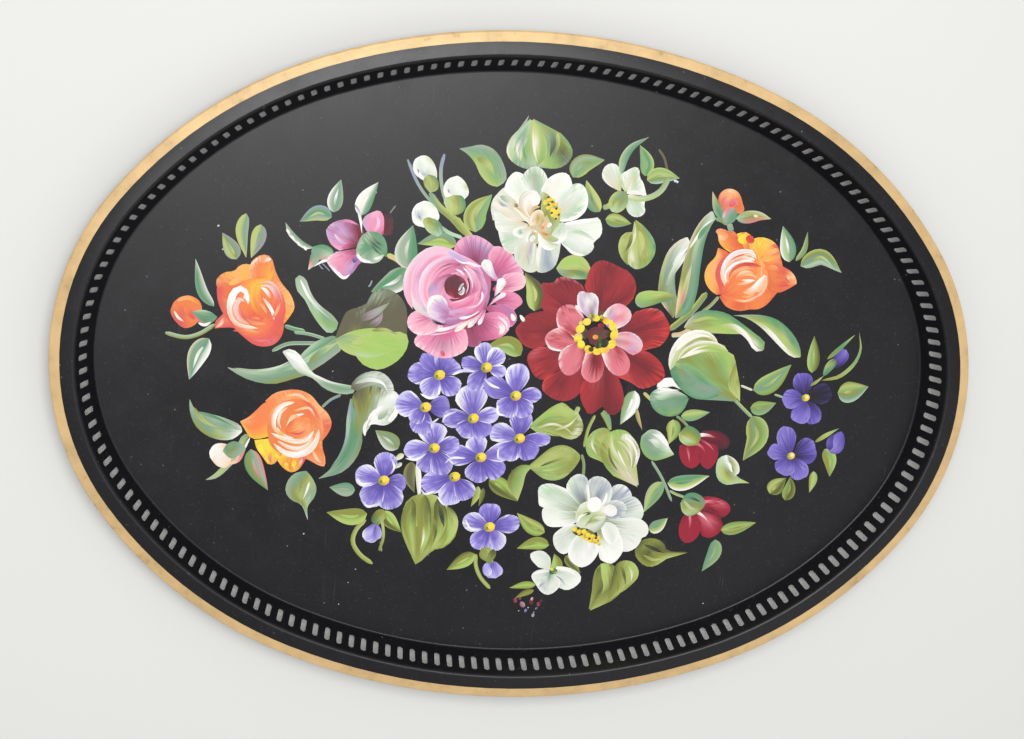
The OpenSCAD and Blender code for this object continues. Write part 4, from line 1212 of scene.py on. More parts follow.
class TRAY_OT_light_violets(VioletStep, bpy.types.Operator):
    """Paint the spray of light violets, their yellow eyes and two hanging buds"""
    bl_idname = "tray.light_violets"
    bl_label = "Light Violets"
    node, slot = "light_violets", "violet_paint"
    DARK = "NNN NnN3 nBnN6 BnBB8 bBbB9 bBbb"
    MID = "NNN NnN3 BnBnB5 bBnBb7 wbBbb8 wwBbbw9 wwbww"
    PALE = "NnN nBnBn3 bBnBb5 wbBbw6 wwbbww8 wwwbww"
    WHITE = "nNn BnBnB2 wBnBw4 wwbBbw6 wwwbww"

    def eye(self, brush, spot):
        x, y = spot
        brush.dab((x, y), (7.4, 6.2), "J yY y", 20)
        brush.dab((x + 0.8, y + 0.6), (4.2, 3.2), "y y y", 40)
        brush.dab((x - 1.6, y - 1), (2.2, 1.6), "J z", 70)

    def paint(self, brush):
        for eye, petals in (
                ((-81.5, -75), (((-81, -57), 13, "MID"), ((-68, -78), 12, "DARK"),
                        ((-74, -92.5), 15, "MID"), ((-92, -91), 14, "MID"),
                        ((-99, -71), 13, "PALE"))),
                ((-12, -102.5), (((-13, -87), 12.5, "DARK"), ((7, -98.5), 11, "MID"),
                        ((-5, -117), 13, "PALE"), ((-20, -116.5), 12, "MID"),
                        ((-28.5, -98), 11.5, "PALE"))),
                ((-37, -70.5), (((-57, -77), 13, "MID"), ((-40, -88.5), 13.5, "PALE"),
                        ((-26, -84), 12, "MID"))),
                ((-21.5, -57), (((-27, -44), 12.5, "PALE"), ((-43.5, -56), 12, "MID"),
                        ((-24, -73), 14, "MID"), ((-7, -68), 12.5, "DARK"),
                        ((-2.5, -51), 11, "PALE"))),
                ((-51.5, -52.5), (((-69.5, -55), 11.5, "PALE"), ((-57, -67.5), 12.5, "MID"),
                        ((-43, -69), 13, "MID"), ((-36.5, -48.5), 10, "MID"),
                        ((-54, -36.5), 16, "WHITE"))),
                ((2, -43.5), (((2, -25), 13, "MID"), ((21.5, -43.5), 8, "MID"),
                        ((12, -55.5), 12.5, "DARK"), ((-7, -56.5), 13.5, "MID"),
                        ((-16.5, -38.5), 11.5, "PALE"))),
                ((-59, -26.5), (((-77, -24), 15, "PALE"), ((-44, -25), 12.5, "DARK"),
                        ((-62, -43.5), 13, "MID"), ((-67, -36), 9, "MID"))),
                ((-28.5, -32), (((-47.5, -33), 11, "MID"), ((-35, -43.5), 11.5, "MID"),
                        ((-19, -43), 12, "DARK"), ((-13, -28), 9.5, "PALE"),
                        ((-32, -11.5), 18, "WHITE"))),
                ((-52, -5.5), (((-71.5, -5), 12.5, "MID"), ((-63, 7), 9.5, "DARK"),
                        ((-45, 6), 17, "MID"), ((-40, -16), 12, "MID"),
                        ((-60, -19), 12.5, "PALE"))),
                ((-23, 1), (((-39, 4), 8.5, "MID"), ((-31.5, -13), 10.5, "MID"),
                        ((-10.5, -2), 7.5, "PALE"), ((-27, 16.5), 10.5, "WHITE"),
                        ((-14, 12.5), 10.5, "WHITE"))),
                ((-3, -16), (((-3, 4), 13.5, "PALE"), ((-22.5, -9), 12.5, "DARK"),
                        ((13, -14.5), 9, "MID"), ((6, -28.5), 11.5, "MID"),
                        ((-10.5, -28.5), 13.5, "MID")))):
            self.petals(brush, eye, petals)
            self.eye(brush, eye)
        sweep = brush.sweep
        for spine, width, paint in (
                ([(-44, -5), (-38, -2), (-30, -2)], 2, "w b w"),
                ([(-63, -18), (-57, -20.5), (-51, -19)], 1.6, "w w b"),
                ([(-14, -22), (-13, -28), (-8, -29)], 1.6, "w w b"),
                ([(-24, -6), (-19, -10), (-13, -12)], 1.8, "b w b"),
                ([(-9, -2), (-7.5, 2.5), (-3, 4.2)], 1.2, "b w b"),
                ([(8, -11.5), (12, -13.5), (13.4, -17)], 1.2, "b b B"),
                ([(-78, -60), (-75.5, -66), (-77.5, -71)], 1.4, "b w B"),
                ([(-98, -74), (-96, -77.5), (-88, -77)], 1.6, "w w b"),
                ([(-95, -88), (-90, -92.5), (-84, -90)], 1.5, "b w b"),
                ([(-69, -60), (-62, -60.5), (-56, -56)], 1.4, "w w b"),
                ([(-44, -62), (-40, -58.5), (-31, -58)], 1.6, "b w b"),
                ([(-58, -79), (-55, -82.5), (-48, -80)], 1.5, "b w b"),
                ([(-47, -84), (-42, -89), (-36, -87)], 1.4, "w b b"),
                ([(-28, -98), (-24, -104), (-17, -104)], 1.4, "w w b"),
                ([(-17, -41), (-15.5, -45), (-7, -44.5)], 1.4, "b w b"),
                ([(-11, -51), (-10, -57), (-3, -57.5)], 1.4, "w b B"),
                ([(-50, -33), (-55, -36.5), (-58, -35)], 1.3, "w b B"),
                ([(-39, -28), (-46, -31.5), (-48, -36)], 1.3, "b w B")):
            sweep(spine, width, paint, "band")
        for spine, width, paint in (
                ([(-84, -103), (-86, -109), (-90, -115)], 11, "nBn BBbB bBbw wbw"),
                ([(-84, -104), (-83, -109), (-83, -114)], 6, "BN bBn bB"),
                ([(-8, -125), (-7, -130), (-5, -136.5)], 12, "BNB bBnB bBbB wbb"),
                ([(-11, -126), (-11.5, -130), (-9, -135)], 6, "Bb bB wb")):
            sweep(spine, width, paint, "drop")
        sweep([(-80, -94), (-83, -99), (-86, -104)], 8, "J jJz JGz zD", "oval")
        sweep([(-81, -121), (-79, -112), (-80, -104), (-82, -98)], 1.8, "J j J", "stem")
        sweep([(-16, -117), (-12, -121), (-8, -127)], 9, "J jJ jGJ Jz")
        sweep([(-8, -117), (-9, -122), (-12, -127)], 5, "z J G")


class TRAY_OT_dark_violets(VioletStep, bpy.types.Operator):
    """Paint the two dark violets at the right and their buds"""
    bl_idname = "tray.dark_violets"
    bl_label = "Dark Violets"
    node, slot = "dark_violets", "dark_violet_paint"
    DARK = "kxk xNx5 NnN8 nBnN"
    NIGHT = "kk xkx5 xxx8 NxN"
    MID = "xN NnN4 nBnN7 BnBn9 bBBn"

    def paint(self, brush):
        for eye, group in (
                ((186, -7), (((181, 9), 12, "DARK"), ((202.5, -2), 12, "NIGHT"),
                        ((195, -23.5), 10.5, "DARK"), ((183, -24), 11.5, "MID"),
                        ((171, -9), 11.5, "MID"))),
                ((181, -46), (((174, -27.5), 11.5, "MID"), ((197, -40), 16, "DARK"),
                        ((191, -60.5), 11.5, "MID"), ((176, -58), 13, "MID"),
                        ((165.5, -42.5), 9.5, "MID")))):
            self.petals(brush, eye, group)
            brush.dab(eye, (5.6, 4.6), "J y Y", 20)
            brush.dab((eye[0] + 0.5, eye[1] + 0.6), (2.6, 2.2), "y c")
        sweep = brush.sweep
        for spine, width, paint in (
                ([(198, 14), (204, 19), (209, 26)], 11, "kx xNx NnN nB"),
                ([(196, 8), (199, 14), (203, 19)], 6, "G jG z"),
                ([(197, 19), (203, 25), (213.5, 36)], 3, "J G j"),
                ([(195, 5), (207, 8.5), (216, 18), (218.5, 27), (216, 38)], 2.6, "J j G j J"),
                ([(188, 1), (192, 4), (196, 8)], 2, "J j"),
                ([(213, -28), (211, -35), (208, -43)], 12, "NnN NnB nBb xN"),
                ([(208, -30), (206, -35), (207, -41)], 5, "Nx Nn x"),
                ([(196, -36), (203, -31), (211, -26)], 3, "J j G")):
            sweep(spine, width, paint, "leaf" if width < 5 else "drop")


class TRAY_OT_pink_tulips(PaintStep, bpy.types.Operator):
    """Paint the pink half-open flower at the upper left with its round calyx"""
    bl_idname = "tray.pink_tulips"
    bl_label = "Pink Tulip"
    node, slot = "pink_tulips", "mauve_paint"

    def paint(self, brush):
        petal, sweep, blade = brush.petal, brush.sweep, brush.blade
        petal((-108, 72), [(-119, 68), (-124, 71), (-127, 76), (-128, 80), (-125, 84),
            (-120, 86.5), (-114, 87.2), (-109, 85), (-105, 80)],
            "QtQ qPLQt4 PLMLQtt6 pPLMLMtt8 ppLlMMQM")
        sweep([(-122, 85), (-116, 86.5), (-109, 84.6)], 1.6, "M P M", "band")
        sweep([(-123, 78), (-119, 74), (-113, 70.6)], 2, "l L q", "band")
        sweep([(-108, 80), (-106, 76), (-107, 71)], 4.4, "t dt Q", "band")
        petal((-108, 70), [(-121, 67), (-126, 63), (-126, 60), (-121, 55), (-115, 51), (-110, 55),
            (-107, 60), (-103, 64)], "QQQ qPLM4 PpPLMM6 LpPPnMM8 wppPLMM9 wwwpPMM")
        sweep([(-125, 59.4), (-120, 54.8), (-115, 51.4), (-111.6, 54)], 2.0, "l w w p", "band")
        sweep([(-118, 66.6), (-113, 64.6), (-107, 66)], 2, "P q Q", "band")
        sweep([(-118, 69.4), (-112, 71.6), (-106, 71)], 3, "q t t")
        sweep([(-110, 61), (-108.6, 65), (-106, 67)], 3, "N M L")
        petal((-98, 78), [(-94, 94), (-90, 93), (-87.6, 88), (-87.6, 80)], "tt dFd5 kdd8 kxk")
        petal((-100, 76), [(-107, 86), (-105, 90), (-101, 92.6), (-97, 94), (-94, 91), (-93, 80)],
            "qPQ LPPq4 LPPPq7 mLpPPQ9 hLpPPt")
        sweep([(-99, 80), (-96.6, 86), (-98, 91.6)], 2, "P l L", "band")
        # calyx
        petal((-99, 71), [(-109, 66), (-107, 63.6), (-103, 62), (-98, 61.5), (-94, 63.5),
            (-90.5, 69)], "GHG mHhG5 hmhG8 wwhGw9 wwwhwh")
        petal((-99, 71), [(-90.6, 66), (-90, 70), (-91.6, 76), (-95, 80), (-100, 81.2),
            (-105.5, 79), (-108, 74), (-109, 68), (-107.6, 64)], "GGG HGHGH5 GHGHhH8 GGHGmmHw")
        for lean in (-1, 0, 1):
            sweep([(-104 + lean, 79 + lean * 1.6), (-98, 73 + lean * 2.6), (-92, 69 + lean * 3)],
                  1.5, "h D H")
        sweep([(-108, 67), (-105.6, 63.4), (-99, 62)], 2, "w w w", "band")
        sweep([(-92, 67.4), (-95, 65), (-99, 64.6)], 1.8, "h w G", "band")
        sweep([(-112, 97), (-109.4, 93), (-107.6, 87), (-106.2, 79)], 1.8, "s w w c")


class TRAY_OT_white_buds(PaintStep, bpy.types.Operator):
    """Paint the three white buds and the stems that gather them"""
    bl_idname = "tray.white_buds"
    bl_label = "White Buds"
    node, slot = "white_buds", "white_paint"

    def paint(self, brush):
        sweep, blade = brush.sweep, brush.blade
        for spine, width, paint in (
                ([(-82, 126), (-74, 111), (-64, 100), (-52, 91), (-44, 83)], 1.9, "s m H J j"),
                ([(-67, 107), (-60, 99), (-50, 92), (-41, 84)], 3.4, "H jJ jJ Jj I"),
                ([(-60, 131), (-61.4, 122), (-59.6, 110), (-55, 99), (-52, 93.6)], 2.2,
                    "s m m mj H"),
                ([(-61, 88), (-53, 83.4), (-45, 81)], 2.2, "m h h"),
                ([(-48, 92), (-44, 87), (-40, 83.6)], 1.6, "s m m"),
                ([(-50, 92.6), (-44, 86), (-39, 80.6)], 4.2, "jJ jJ I")):
            sweep(spine, width, paint, "stem")
        for left, right, paint in (
                ([(-64.6, 112), (-70, 115), (-75, 116), (-78.4, 121), (-77.6, 126.4), (-74, 129)],
                    [(-63.4, 116), (-64, 121), (-67, 126.6), (-71, 129.2)],
                    "Vv VVi wsVv wVvV vVvj wvv w"),
                ([(-46, 104), (-52, 103), (-57, 104.6), (-59, 110), (-56.6, 116), (-51, 118.6)],
                    [(-43.2, 108), (-44.6, 113), (-48, 117)], "vw vvV wVvv wVvvj vvvv wv w"),
                ([(-63, 88), (-68, 85.6), (-74, 87.6), (-77, 93), (-75, 99), (-70, 102)],
                    [(-60, 92), (-61.6, 97), (-65.6, 101)], "Vv vVv wVvv wsVvv wvvh wv w")):
            blade(left, right, paint, 0.1)
        sweep([(-77, 121), (-74.6, 117.6), (-70, 114)], 2.4, "w w V", "band")
        sweep([(-57.6, 109), (-55, 106), (-50.6, 104)], 2.2, "w w V", "band")
        sweep([(-76.4, 93), (-74, 88.6), (-68, 86.4)], 3, "w w w", "band")
        for spine in (
                [(-75.6, 121), (-74.4, 118)], [(-56, 110), (-55, 107)],
                [(-73, 93), (-70.4, 89.4)]):
            sweep(spine, 1.1, "s S V")
        blade([(-67, 107), (-70.6, 111), (-71.4, 115), (-69, 118)], [(-62.6, 109), (-62, 113),
            (-64.4, 117)], "mj jJ JjG hjJG jJH")
        blade([(-52, 93.6), (-56, 98), (-58, 103.6), (-53, 106.6)], [(-46, 96.6), (-44.4, 101),
            (-47, 106.4)], "jJ jjG hjJG jjJG jh")
        blade([(-60, 80.6), (-66, 83), (-69.6, 88), (-69.4, 91)], [(-57, 83), (-59, 89),
            (-64, 91.6)], "hh jHG hjJG jJj jj")
        sweep([(-58, 101), (-55, 104.4), (-51, 102)], 2.4, "h j J")
        sweep([(-70, 89), (-66, 91), (-62, 89)], 2.4, "j J j")


class TRAY_OT_white_blossoms(PaintStep, bpy.types.Operator):
    """Paint the white side-on blossom at the upper right and the small one below"""
    bl_idname = "tray.white_blossoms"
    bl_label = "White Blossoms"
    node, slot = "white_blossoms", "white_paint"

    def paint(self, brush):
        petal, sweep, dab, blade = brush.petal, brush.sweep, brush.dab, brush.blade
        petal((51, 116), [(49, 117), (43, 119.6), (38.6, 123.6), (38, 127), (39.4, 131),
            (43, 133.2), (47, 132.4), (51, 127)], "jij ciVj4 wciVh6 wwVVvj8 wwwvvvv")
        sweep([(52.6, 129), (51.6, 122), (54, 116)], 4, "v hj jV h")
        petal((55, 115), [(51, 124), (52, 128), (55, 130.6), (58.6, 132.2), (61, 131), (62, 126),
            (64.4, 123), (66, 119), (67.4, 115)], "jvj vihV4 hVjVv6 vvhVvv8 wwVvvwww")
        petal((56, 115), [(67, 114), (66.6, 109), (67.6, 105), (65, 102), (61, 101.4), (57, 103.6),
            (54.6, 108)], "jhj ihVh5 vVhVh7 wvVhVm9 wwwwvm")
        sweep([(54.4, 115.6), (60, 116.6), (68, 114.6)], 2.6, "c c c w")
        sweep([(55, 113.6), (64, 112.8), (72, 115.4), (77, 120), (80, 127)], 3.6, "cj hj mj Jh jH",
            "stem")
        sweep([(50, 127), (50.6, 136), (55, 144), (65, 151)], 5.2, "hH jHG hHG mHH H")
        dab((50, 110), (14.6, 11.6), "jhj jJHj jHJH JH", 62)
        sweep([(48, 106), (50, 110), (54, 113)], 2.6, "j J H")
        sweep([(45.6, 108.4), (43.4, 106.6), (40.6, 105.6)], 3.2, "j H", "stem")
        # small blossom below
        petal((30, -130), [(22, -128), (17, -123), (16, -119.4), (19, -117.4), (24, -117),
            (29.4, -121.6), (30, -126)], "VVV VvVV5 vvVVv8 wwwvwV")
        petal((32, -132), [(34, -127), (39, -127), (45, -128.6), (50, -132), (50.8, -136),
            (47, -140.6), (42, -142.8), (36.6, -141), (33.4, -137)],
            "GVV wVVVG4 wwVvVm6 wvVwvVw8 wwwwwww")
        petal((31, -131), [(36, -134), (37.6, -139), (34.6, -144), (30, -146.4), (26, -145),
            (22, -140.4), (18, -134), (20.6, -130.6), (27, -128.8)],
            "VGV VvVvVV4 vVvsVvh6 wvVwvVv8 wwwvwww")
        sweep([(19, -133), (24, -131), (30, -130)], 1.8, "w w V", "band")
        sweep([(36, -129), (42, -129.6), (48, -133)], 1.5, "w w w", "band")
        sweep([(24, -142), (27, -137), (30, -132)], 1.3, "s V s")
        sweep([(41, -140), (38, -136), (34, -133)], 1.3, "V s G")
        dab((32, -130.4), (5.4, 4), "D JG k", 20)
        dab((31, -129), (2.6, 2), "y j", 0)
        dab((33.6, -131.4), (2.2, 1.6), "J j", 40)


class TRAY_OT_crimson_buds(PaintStep, bpy.types.Operator):
    """Paint the two crimson buds at the lower right"""
    bl_idname = "tray.crimson_buds"
    bl_label = "Crimson Buds"
    node, slot = "crimson_buds", "crimson_paint"

    def paint(self, brush):
        petal, sweep, dab, blade = brush.petal, brush.sweep, brush.dab, brush.blade
        petal((115, -38), [(121, -32), (127, -31.6), (134, -33), (139, -38), (138, -43),
            (130, -45)], "FFF FfFk4 dFFk7 kFdk9 kkkk")
        petal((114, -39), [(131, -41), (132.4, -47), (131, -53), (127, -57.6), (123, -56),
            (119, -50)], "FfF fffF4 ffffF7 FfffF9 Fffff")
        petal((112, -39), [(121, -48), (120.6, -54), (116, -57.6), (110, -55), (106.6, -49),
            (106, -43)], "FfF fffF4 fffff7 Fffff9 FfffF")
        sweep([(117, -35.6), (123, -35), (131, -37)], 2.6, "w u f F", "comma")
        sweep([(116, -40), (122, -44), (126, -51)], 1.8, "T f f", "comma")
        sweep([(111, -43), (113, -49), (114, -54)], 1.8, "f T f", "comma")
        sweep([(119, -38), (125, -41), (130, -46)], 1.5, "f T F", "comma")
        blade([(118, -42), (111, -42.6), (106, -39.6), (104.6, -35)],
            [(119.6, -36), (116, -31.6), (110, -29.6)], "JJ JjJG hjJG jJG jH", drag=0.1)
        sweep([(106.6, -36), (111, -39), (117, -40.4)], 1.8, "j h J")
        # lower bud
        petal((120, -82), [(123, -76.6), (129, -75.6), (136, -76.6), (142.6, -79.6), (145, -84),
            (142, -88.6), (135, -90.6), (128, -90)], "FfF FffFk4 ffTfFF6 FffffFF8 kFfffFFk")
        petal((120, -84), [(138.6, -89), (141, -94), (139, -100), (133, -103.6), (127.6, -102),
            (125, -95)], "FfF fTff4 ffffF7 FfffFF9 kFfffF")
        petal((118, -85), [(126, -93), (126, -101), (122, -106.6), (116.6, -107.6), (112.6, -103),
            (112, -95), (113.6, -90)], "FfF fffF4 fffff7 fffffF9 FffffF")
        sweep([(123, -81), (130, -79), (138, -80.6)], 2.6, "T T f f", "comma")
        sweep([(121, -85.6), (127, -89), (133, -95)], 2, "u w T f", "comma")
        sweep([(118, -88), (119, -95), (117.6, -103)], 1.8, "T f f", "comma")
        sweep([(124, -84), (131, -84), (138, -86.6)], 1.5, "f F F", "comma")
        blade([(124, -87), (118, -89.6), (113, -87), (111, -81)], [(127.6, -81), (125, -76),
            (119, -73.6), (114, -75)], "JJ GjJH hjJHG jJHG jHG jG", drag=0.1)
        sweep([(113, -79), (118, -84), (125, -85)], 2, "j h G")
        sweep([(114, -77), (119, -77.6), (125, -80)], 2, "G D G")


# ---------------------------------------------------------------- leaves and stems


class TRAY_OT_broad_leaves(PaintStep, bpy.types.Operator):
    """Paint the broad leaves, each from a few loaded pulls of the brush"""
    bl_idname = "tray.broad_leaves"
    bl_label = "Broad Leaves"
    node, slot = "broad_leaves", "leaf_paint"

    def paint(self, brush):
        self.top(brush)
        self.left(brush)
        self.right(brush)
        self.middle(brush)
        self.low(brush)

    def top(self, brush):
        petal, sweep, blade = brush.petal, brush.sweep, brush.blade
        petal((-9, 157), [(-18, 147), (-21, 143), (-22.6, 137), (-21, 132), (-17, 128.6),
            (-12, 126.4), (-7, 125.8), (-3, 127.2), (3, 127.2), (8, 127.2), (13, 128.8),
            (17, 132.6), (18.6, 138), (15.4, 144), (10, 149)],
            "mjjH mhgjHJg4 chmgjgzJg6 cmjhmhggZJgH8 cjmhHmhjgZHgHj9 cjjmGGHHjJHHHHj")
        blade([(-10.4, 158.6), (-15, 151), (-20, 143), (-22.4, 136), (-18, 129)],
            [(-13, 149), (-16.6, 143), (-18, 136)], "m mh mc chj cjh j")
        blade([(-9, 156), (-15, 149), (-17.6, 141), (-13, 130)], [(-10, 146), (-11.6, 137)],
            "h hHm hGmh mcj j")
        blade([(-8, 155.6), (-6, 146), (-5, 137), (-3, 128)], [(-3, 151), (2, 142), (2, 134)],
            "j cjg cjgj jgJ H")
        sweep([(-7, 154), (-6.4, 146), (-5, 136), (-2, 128.6)], 2.0, "j c c j")
        sweep([(-13, 146), (-16, 138), (-14, 131)], 1.8, "m c j")
        sweep([(-10.6, 145), (-12, 137), (-9, 130)], 1.6, "h G m")
        sweep([(8, 149.4), (8.6, 142), (6, 133)], 3, "j gZ H")
        sweep([(4, 150), (6, 143), (4.6, 134)], 3.4, "H Z z")
        blade([(-51.5, 135), (-46, 132), (-41, 127), (-37, 120), (-31, 114.6), (-26, 113.6)],
            [(-45, 136.6), (-38, 138.4), (-30, 136), (-23.6, 128), (-21, 118)],
            "mH gHm jgHm jgH jgHm jgm jh", 0.1)
        sweep([(-40, 130), (-33, 127), (-28, 120)], 4, "J j g")
        blade([(40.6, 61), (33, 60.4), (24, 60.2), (18.6, 62), (15, 66)],
            [(37.6, 66), (34.4, 71.4), (30, 74.8), (25, 75.2), (19, 72.4)],
            "Gj gGJjj hJjEj HJjEEj mHjEj jj", 0.1)
        sweep([(34, 63.5), (27, 64.6), (20, 65)], 3, "G J H")
        # heart-shaped leaf
        petal((61, 92), [(57, 91.4), (54, 88.6), (52.8, 83), (54, 78), (57, 73.6), (61, 71),
            (63, 76)], "jJ JjJ4 jjJJ7 hjjJJ9 mhjjJz")
        petal((61.4, 100), [(59.6, 76), (60, 72.4), (64.6, 69), (69, 69.6), (73.4, 73),
            (76.6, 79.6), (76, 86), (72, 92), (67, 96.8)],
            "jJj jjJg4 cjJgHG6 jcJjgGHG8 hjgJgGhHG9 hmggGGHHG")
        sweep([(61.6, 98), (62.4, 90), (60.6, 81), (60.4, 75)], 1.8, "j c j h")
        sweep([(60.6, 91), (60, 85), (57.4, 79)], 2.4, "J z J")
        sweep([(65, 93), (68, 85), (67, 76)], 3.2, "j Ij g")

    def left(self, brush):
        petal, sweep, blade = brush.petal, brush.sweep, brush.blade
        petal((-104, 16), [(-118, 14), (-114.6, 25), (-112, 31), (-105, 34), (-100, 37),
            (-98, 42.4), (-92, 46.4), (-85, 45.4), (-79, 41), (-75.6, 35), (-74.6, 27), (-74, 18)],
            "JZZ ZZZ4 ZZZZ6 ZZmZZ8 ZZZmZZZ9 ZZZZZZZz")
        sweep([(-104, 26), (-95, 31), (-86, 38)], 5, "Z S m Z")
        sweep([(-98, 22), (-92, 27), (-90, 33)], 4, "Z S Z")
        petal((-96, 12), [(-118.6, 12.6), (-110, 18), (-100, 21), (-92, 21.6), (-84, 19.8),
            (-75.6, 20), (-73, 16), (-73.6, 9.6), (-78, 2.6), (-84, -2), (-90, -4.4), (-97, -3),
            (-102, 0), (-104.6, 4), (-109, 8), (-118.4, 11.8)],
            "EEE EjEEEjE5 jEEjEEEEj8 HjEEjEEEEjEEhH", 0.1, 0.02)
        sweep([(-117, 12.4), (-104, 10), (-92, 8), (-80, 9)], 13, "Hj jEj jEEh EEE E")
        sweep([(-108, 11), (-98, 14), (-88, 13)], 4, "j E E")
        sweep([(-96, 20), (-88, 21), (-80, 18.6)], 2.4, "J j Z")
        # folded grey-white leaf
        petal((-106, -18), [(-106, -14), (-102, -9), (-96, -6), (-90, -5.4), (-85, -7.6),
            (-81, -12), (-79.6, -18), (-83, -20)], "ZZZ ZSmm4 ZmVmS6 ZmVVmV8 DZmSmVVV9 DZZmmVwwV")
        sweep([(-104, -14), (-96, -11), (-87, -12.6), (-83, -18)], 2.6, "m V w V")
        petal((-96, -47), [(-104, -28), (-104.6, -21), (-99, -16.6), (-93, -14.6), (-88, -15.4),
            (-84.6, -19), (-84, -24)], "JHV HJJmV4 HJZJmw6 GJZJmVw8 DzZZzJmV9 DzzZZZmm")
        petal((-90, -33), [(-88, -22), (-84, -19.6), (-80, -17), (-76.6, -19.4), (-75, -23),
            (-75, -28), (-77, -34), (-81, -38.4), (-85, -39.6), (-90, -39), (-94, -40)],
            "wVw VVVw4 VwmVw6 mVVwmVw8 VmvVwwVww9 Vmwwwwwww")
        sweep([(-94, -37), (-90, -31), (-85, -27)], 3, "w w v")
        sweep([(-88, -36), (-84, -31), (-82, -26)], 4, "m Vm w")
        sweep([(-95.4, -47), (-95.6, -40), (-91, -33)], 2.2, "w c V")
        sweep([(-82, -37), (-77.6, -31), (-77.4, -23)], 2.6, "w w w")
        blade([(-130, -71), (-137, -73), (-141, -78), (-142, -85), (-138, -90.4), (-132, -93),
            (-127, -103)], [(-126, -75.6), (-123, -82), (-124, -88), (-127.6, -94)],
            "HH mHJj mHJjH mJjHm HJJhH mJj hH c", 0.1)
        sweep([(-127.6, -78), (-129, -84), (-131, -90)], 1.4, "w c j")

    def right(self, brush):
        petal, sweep, blade = brush.petal, brush.sweep, brush.blade
        petal((109, -11), [(107, -18), (104, -22), (99, -24), (92, -23.4), (86.4, -19.6),
            (83.6, -14.6), (83.6, -10), (87, -7), (94, -5)],
            "HGH GHHm4 GgHHh6 GgGHmh8 GGGgHhmV9 DGGGGGhwV")
        sweep([(83.6, -10), (90, -10.4), (98, -9), (107, -10)], 7, "G wh wVhH VVmH mH H")
        sweep([(87, -5), (92, -2.4), (98, -2), (105, -7)], 6, "w ww wwc wV")
        sweep([(87, -6), (94, -6.8), (102, -6.6)], 1.6, "w w V")
        petal((142, -12), [(128, -11.6), (120, -12), (113, -11.4), (106, -8), (100, -3), (95.6, 3),
            (94, 10), (95, 19), (99, 25.4), (104, 29.4), (110, 31.4), (116, 31), (120.6, 28.6),
            (124, 25.2), (128, 24), (131, 20), (134.6, 18.4), (136.6, 14)],
            "HJj HHJjJ3 GHHHJjjj5 GHSHHJJjjJ7 GGHHHJJJjjjE8 GGGHHJJijccjEjJ9 GGGGHhcccvvvjEjj")
        petal((127, -2), [(128, -9), (121, -11.6), (113, -11.6), (106, -8.4), (100, -3.4),
            (95.4, 3), (94.4, 9), (96, 13), (101, 13.6), (106, 10)],
            "HSH HHHHJ5 GHHGHH8 GGGGGGGDG9 GGGGGDGDDD", 0.1)
        petal((116, 2), [(110, -3), (105, -2.6), (101, 1), (99, 6), (101, 12), (105, 12.4)],
            "HHH HHJH5 GHHHG9 GHJJHD", 0.3)
        sweep([(94.6, 6), (96.6, 17), (101.6, 25), (109, 29), (117, 28.6), (124, 24)], 8.4,
            "cjh wcj wcjJ wcjJ wjJJ cjJ", "band")
        petal((141, -8), [(97, 9), (101, 16), (107, 20.6), (114, 23.4), (121, 24), (127, 22.6),
            (132, 19), (136.4, 14)], "gJj gJgjj3 HgJgEJ6 gJgjEEj9 jgJgjEjJ", 0.1)
        sweep([(101, 11), (110, 5), (120, -1), (132, -6.6)], 7, "gH gGH gHH JHH")
        sweep([(98.6, 12), (103, 18.6), (111, 23), (121, 24), (131, 20.4)], 4.6,
            "cjJ cjJ wjE cjE jEj", "band")
        sweep([(100, 14), (107, 17.4), (116, 20), (128, 19.6)], 2.4, "c c jE E j")
        sweep([(102, 15.6), (110, 21), (120, 24), (127, 23.6)], 1.4, "w c j j")
        sweep([(97, 19), (103, 25.6), (112, 29.6), (119, 28.6)], 3, "w c w c")
        sweep([(103, 22), (110, 25.6), (118, 26.6)], 1.0, "S V S")
        blade([(136.6, 14), (134, 4), (134, -3), (142.6, -12)], [(139, 6), (141.4, -2)],
            "J Jj jJ jj j")
        # leaf above the crimson bud
        blade([(103.4, -49), (97, -52), (90, -53.6), (84, -50.4), (80.4, -44), (80.6, -38)],
            [(99.4, -44), (96, -38), (91, -33.8), (85.6, -33.4)], "jh ghw gHhw gHmVw gHHm gHh h",
            0.1)
        sweep([(99, -44), (94, -38.6), (87, -36)], 3, "w w V")
        sweep([(93, -45), (89, -41), (85, -40)], 3.6, "h Vw m")
        blade([(155.6, -65.6), (148, -66), (140, -67.4), (134.6, -64.6), (132, -58), (133, -50),
            (138, -47.4)], [(147, -61.6), (143, -57), (140, -52)], "j hj hjm gjJh hjJm hjhw hw w",
            0.1)
        blade([(145, -61), (143, -56), (139, -50.6), (138, -47.4)], [(147.6, -59), (147, -54),
            (143.4, -49.8)], "jw mjw mJw w")
        sweep([(143, -59), (140, -53), (136, -51)], 1.8, "c w m")

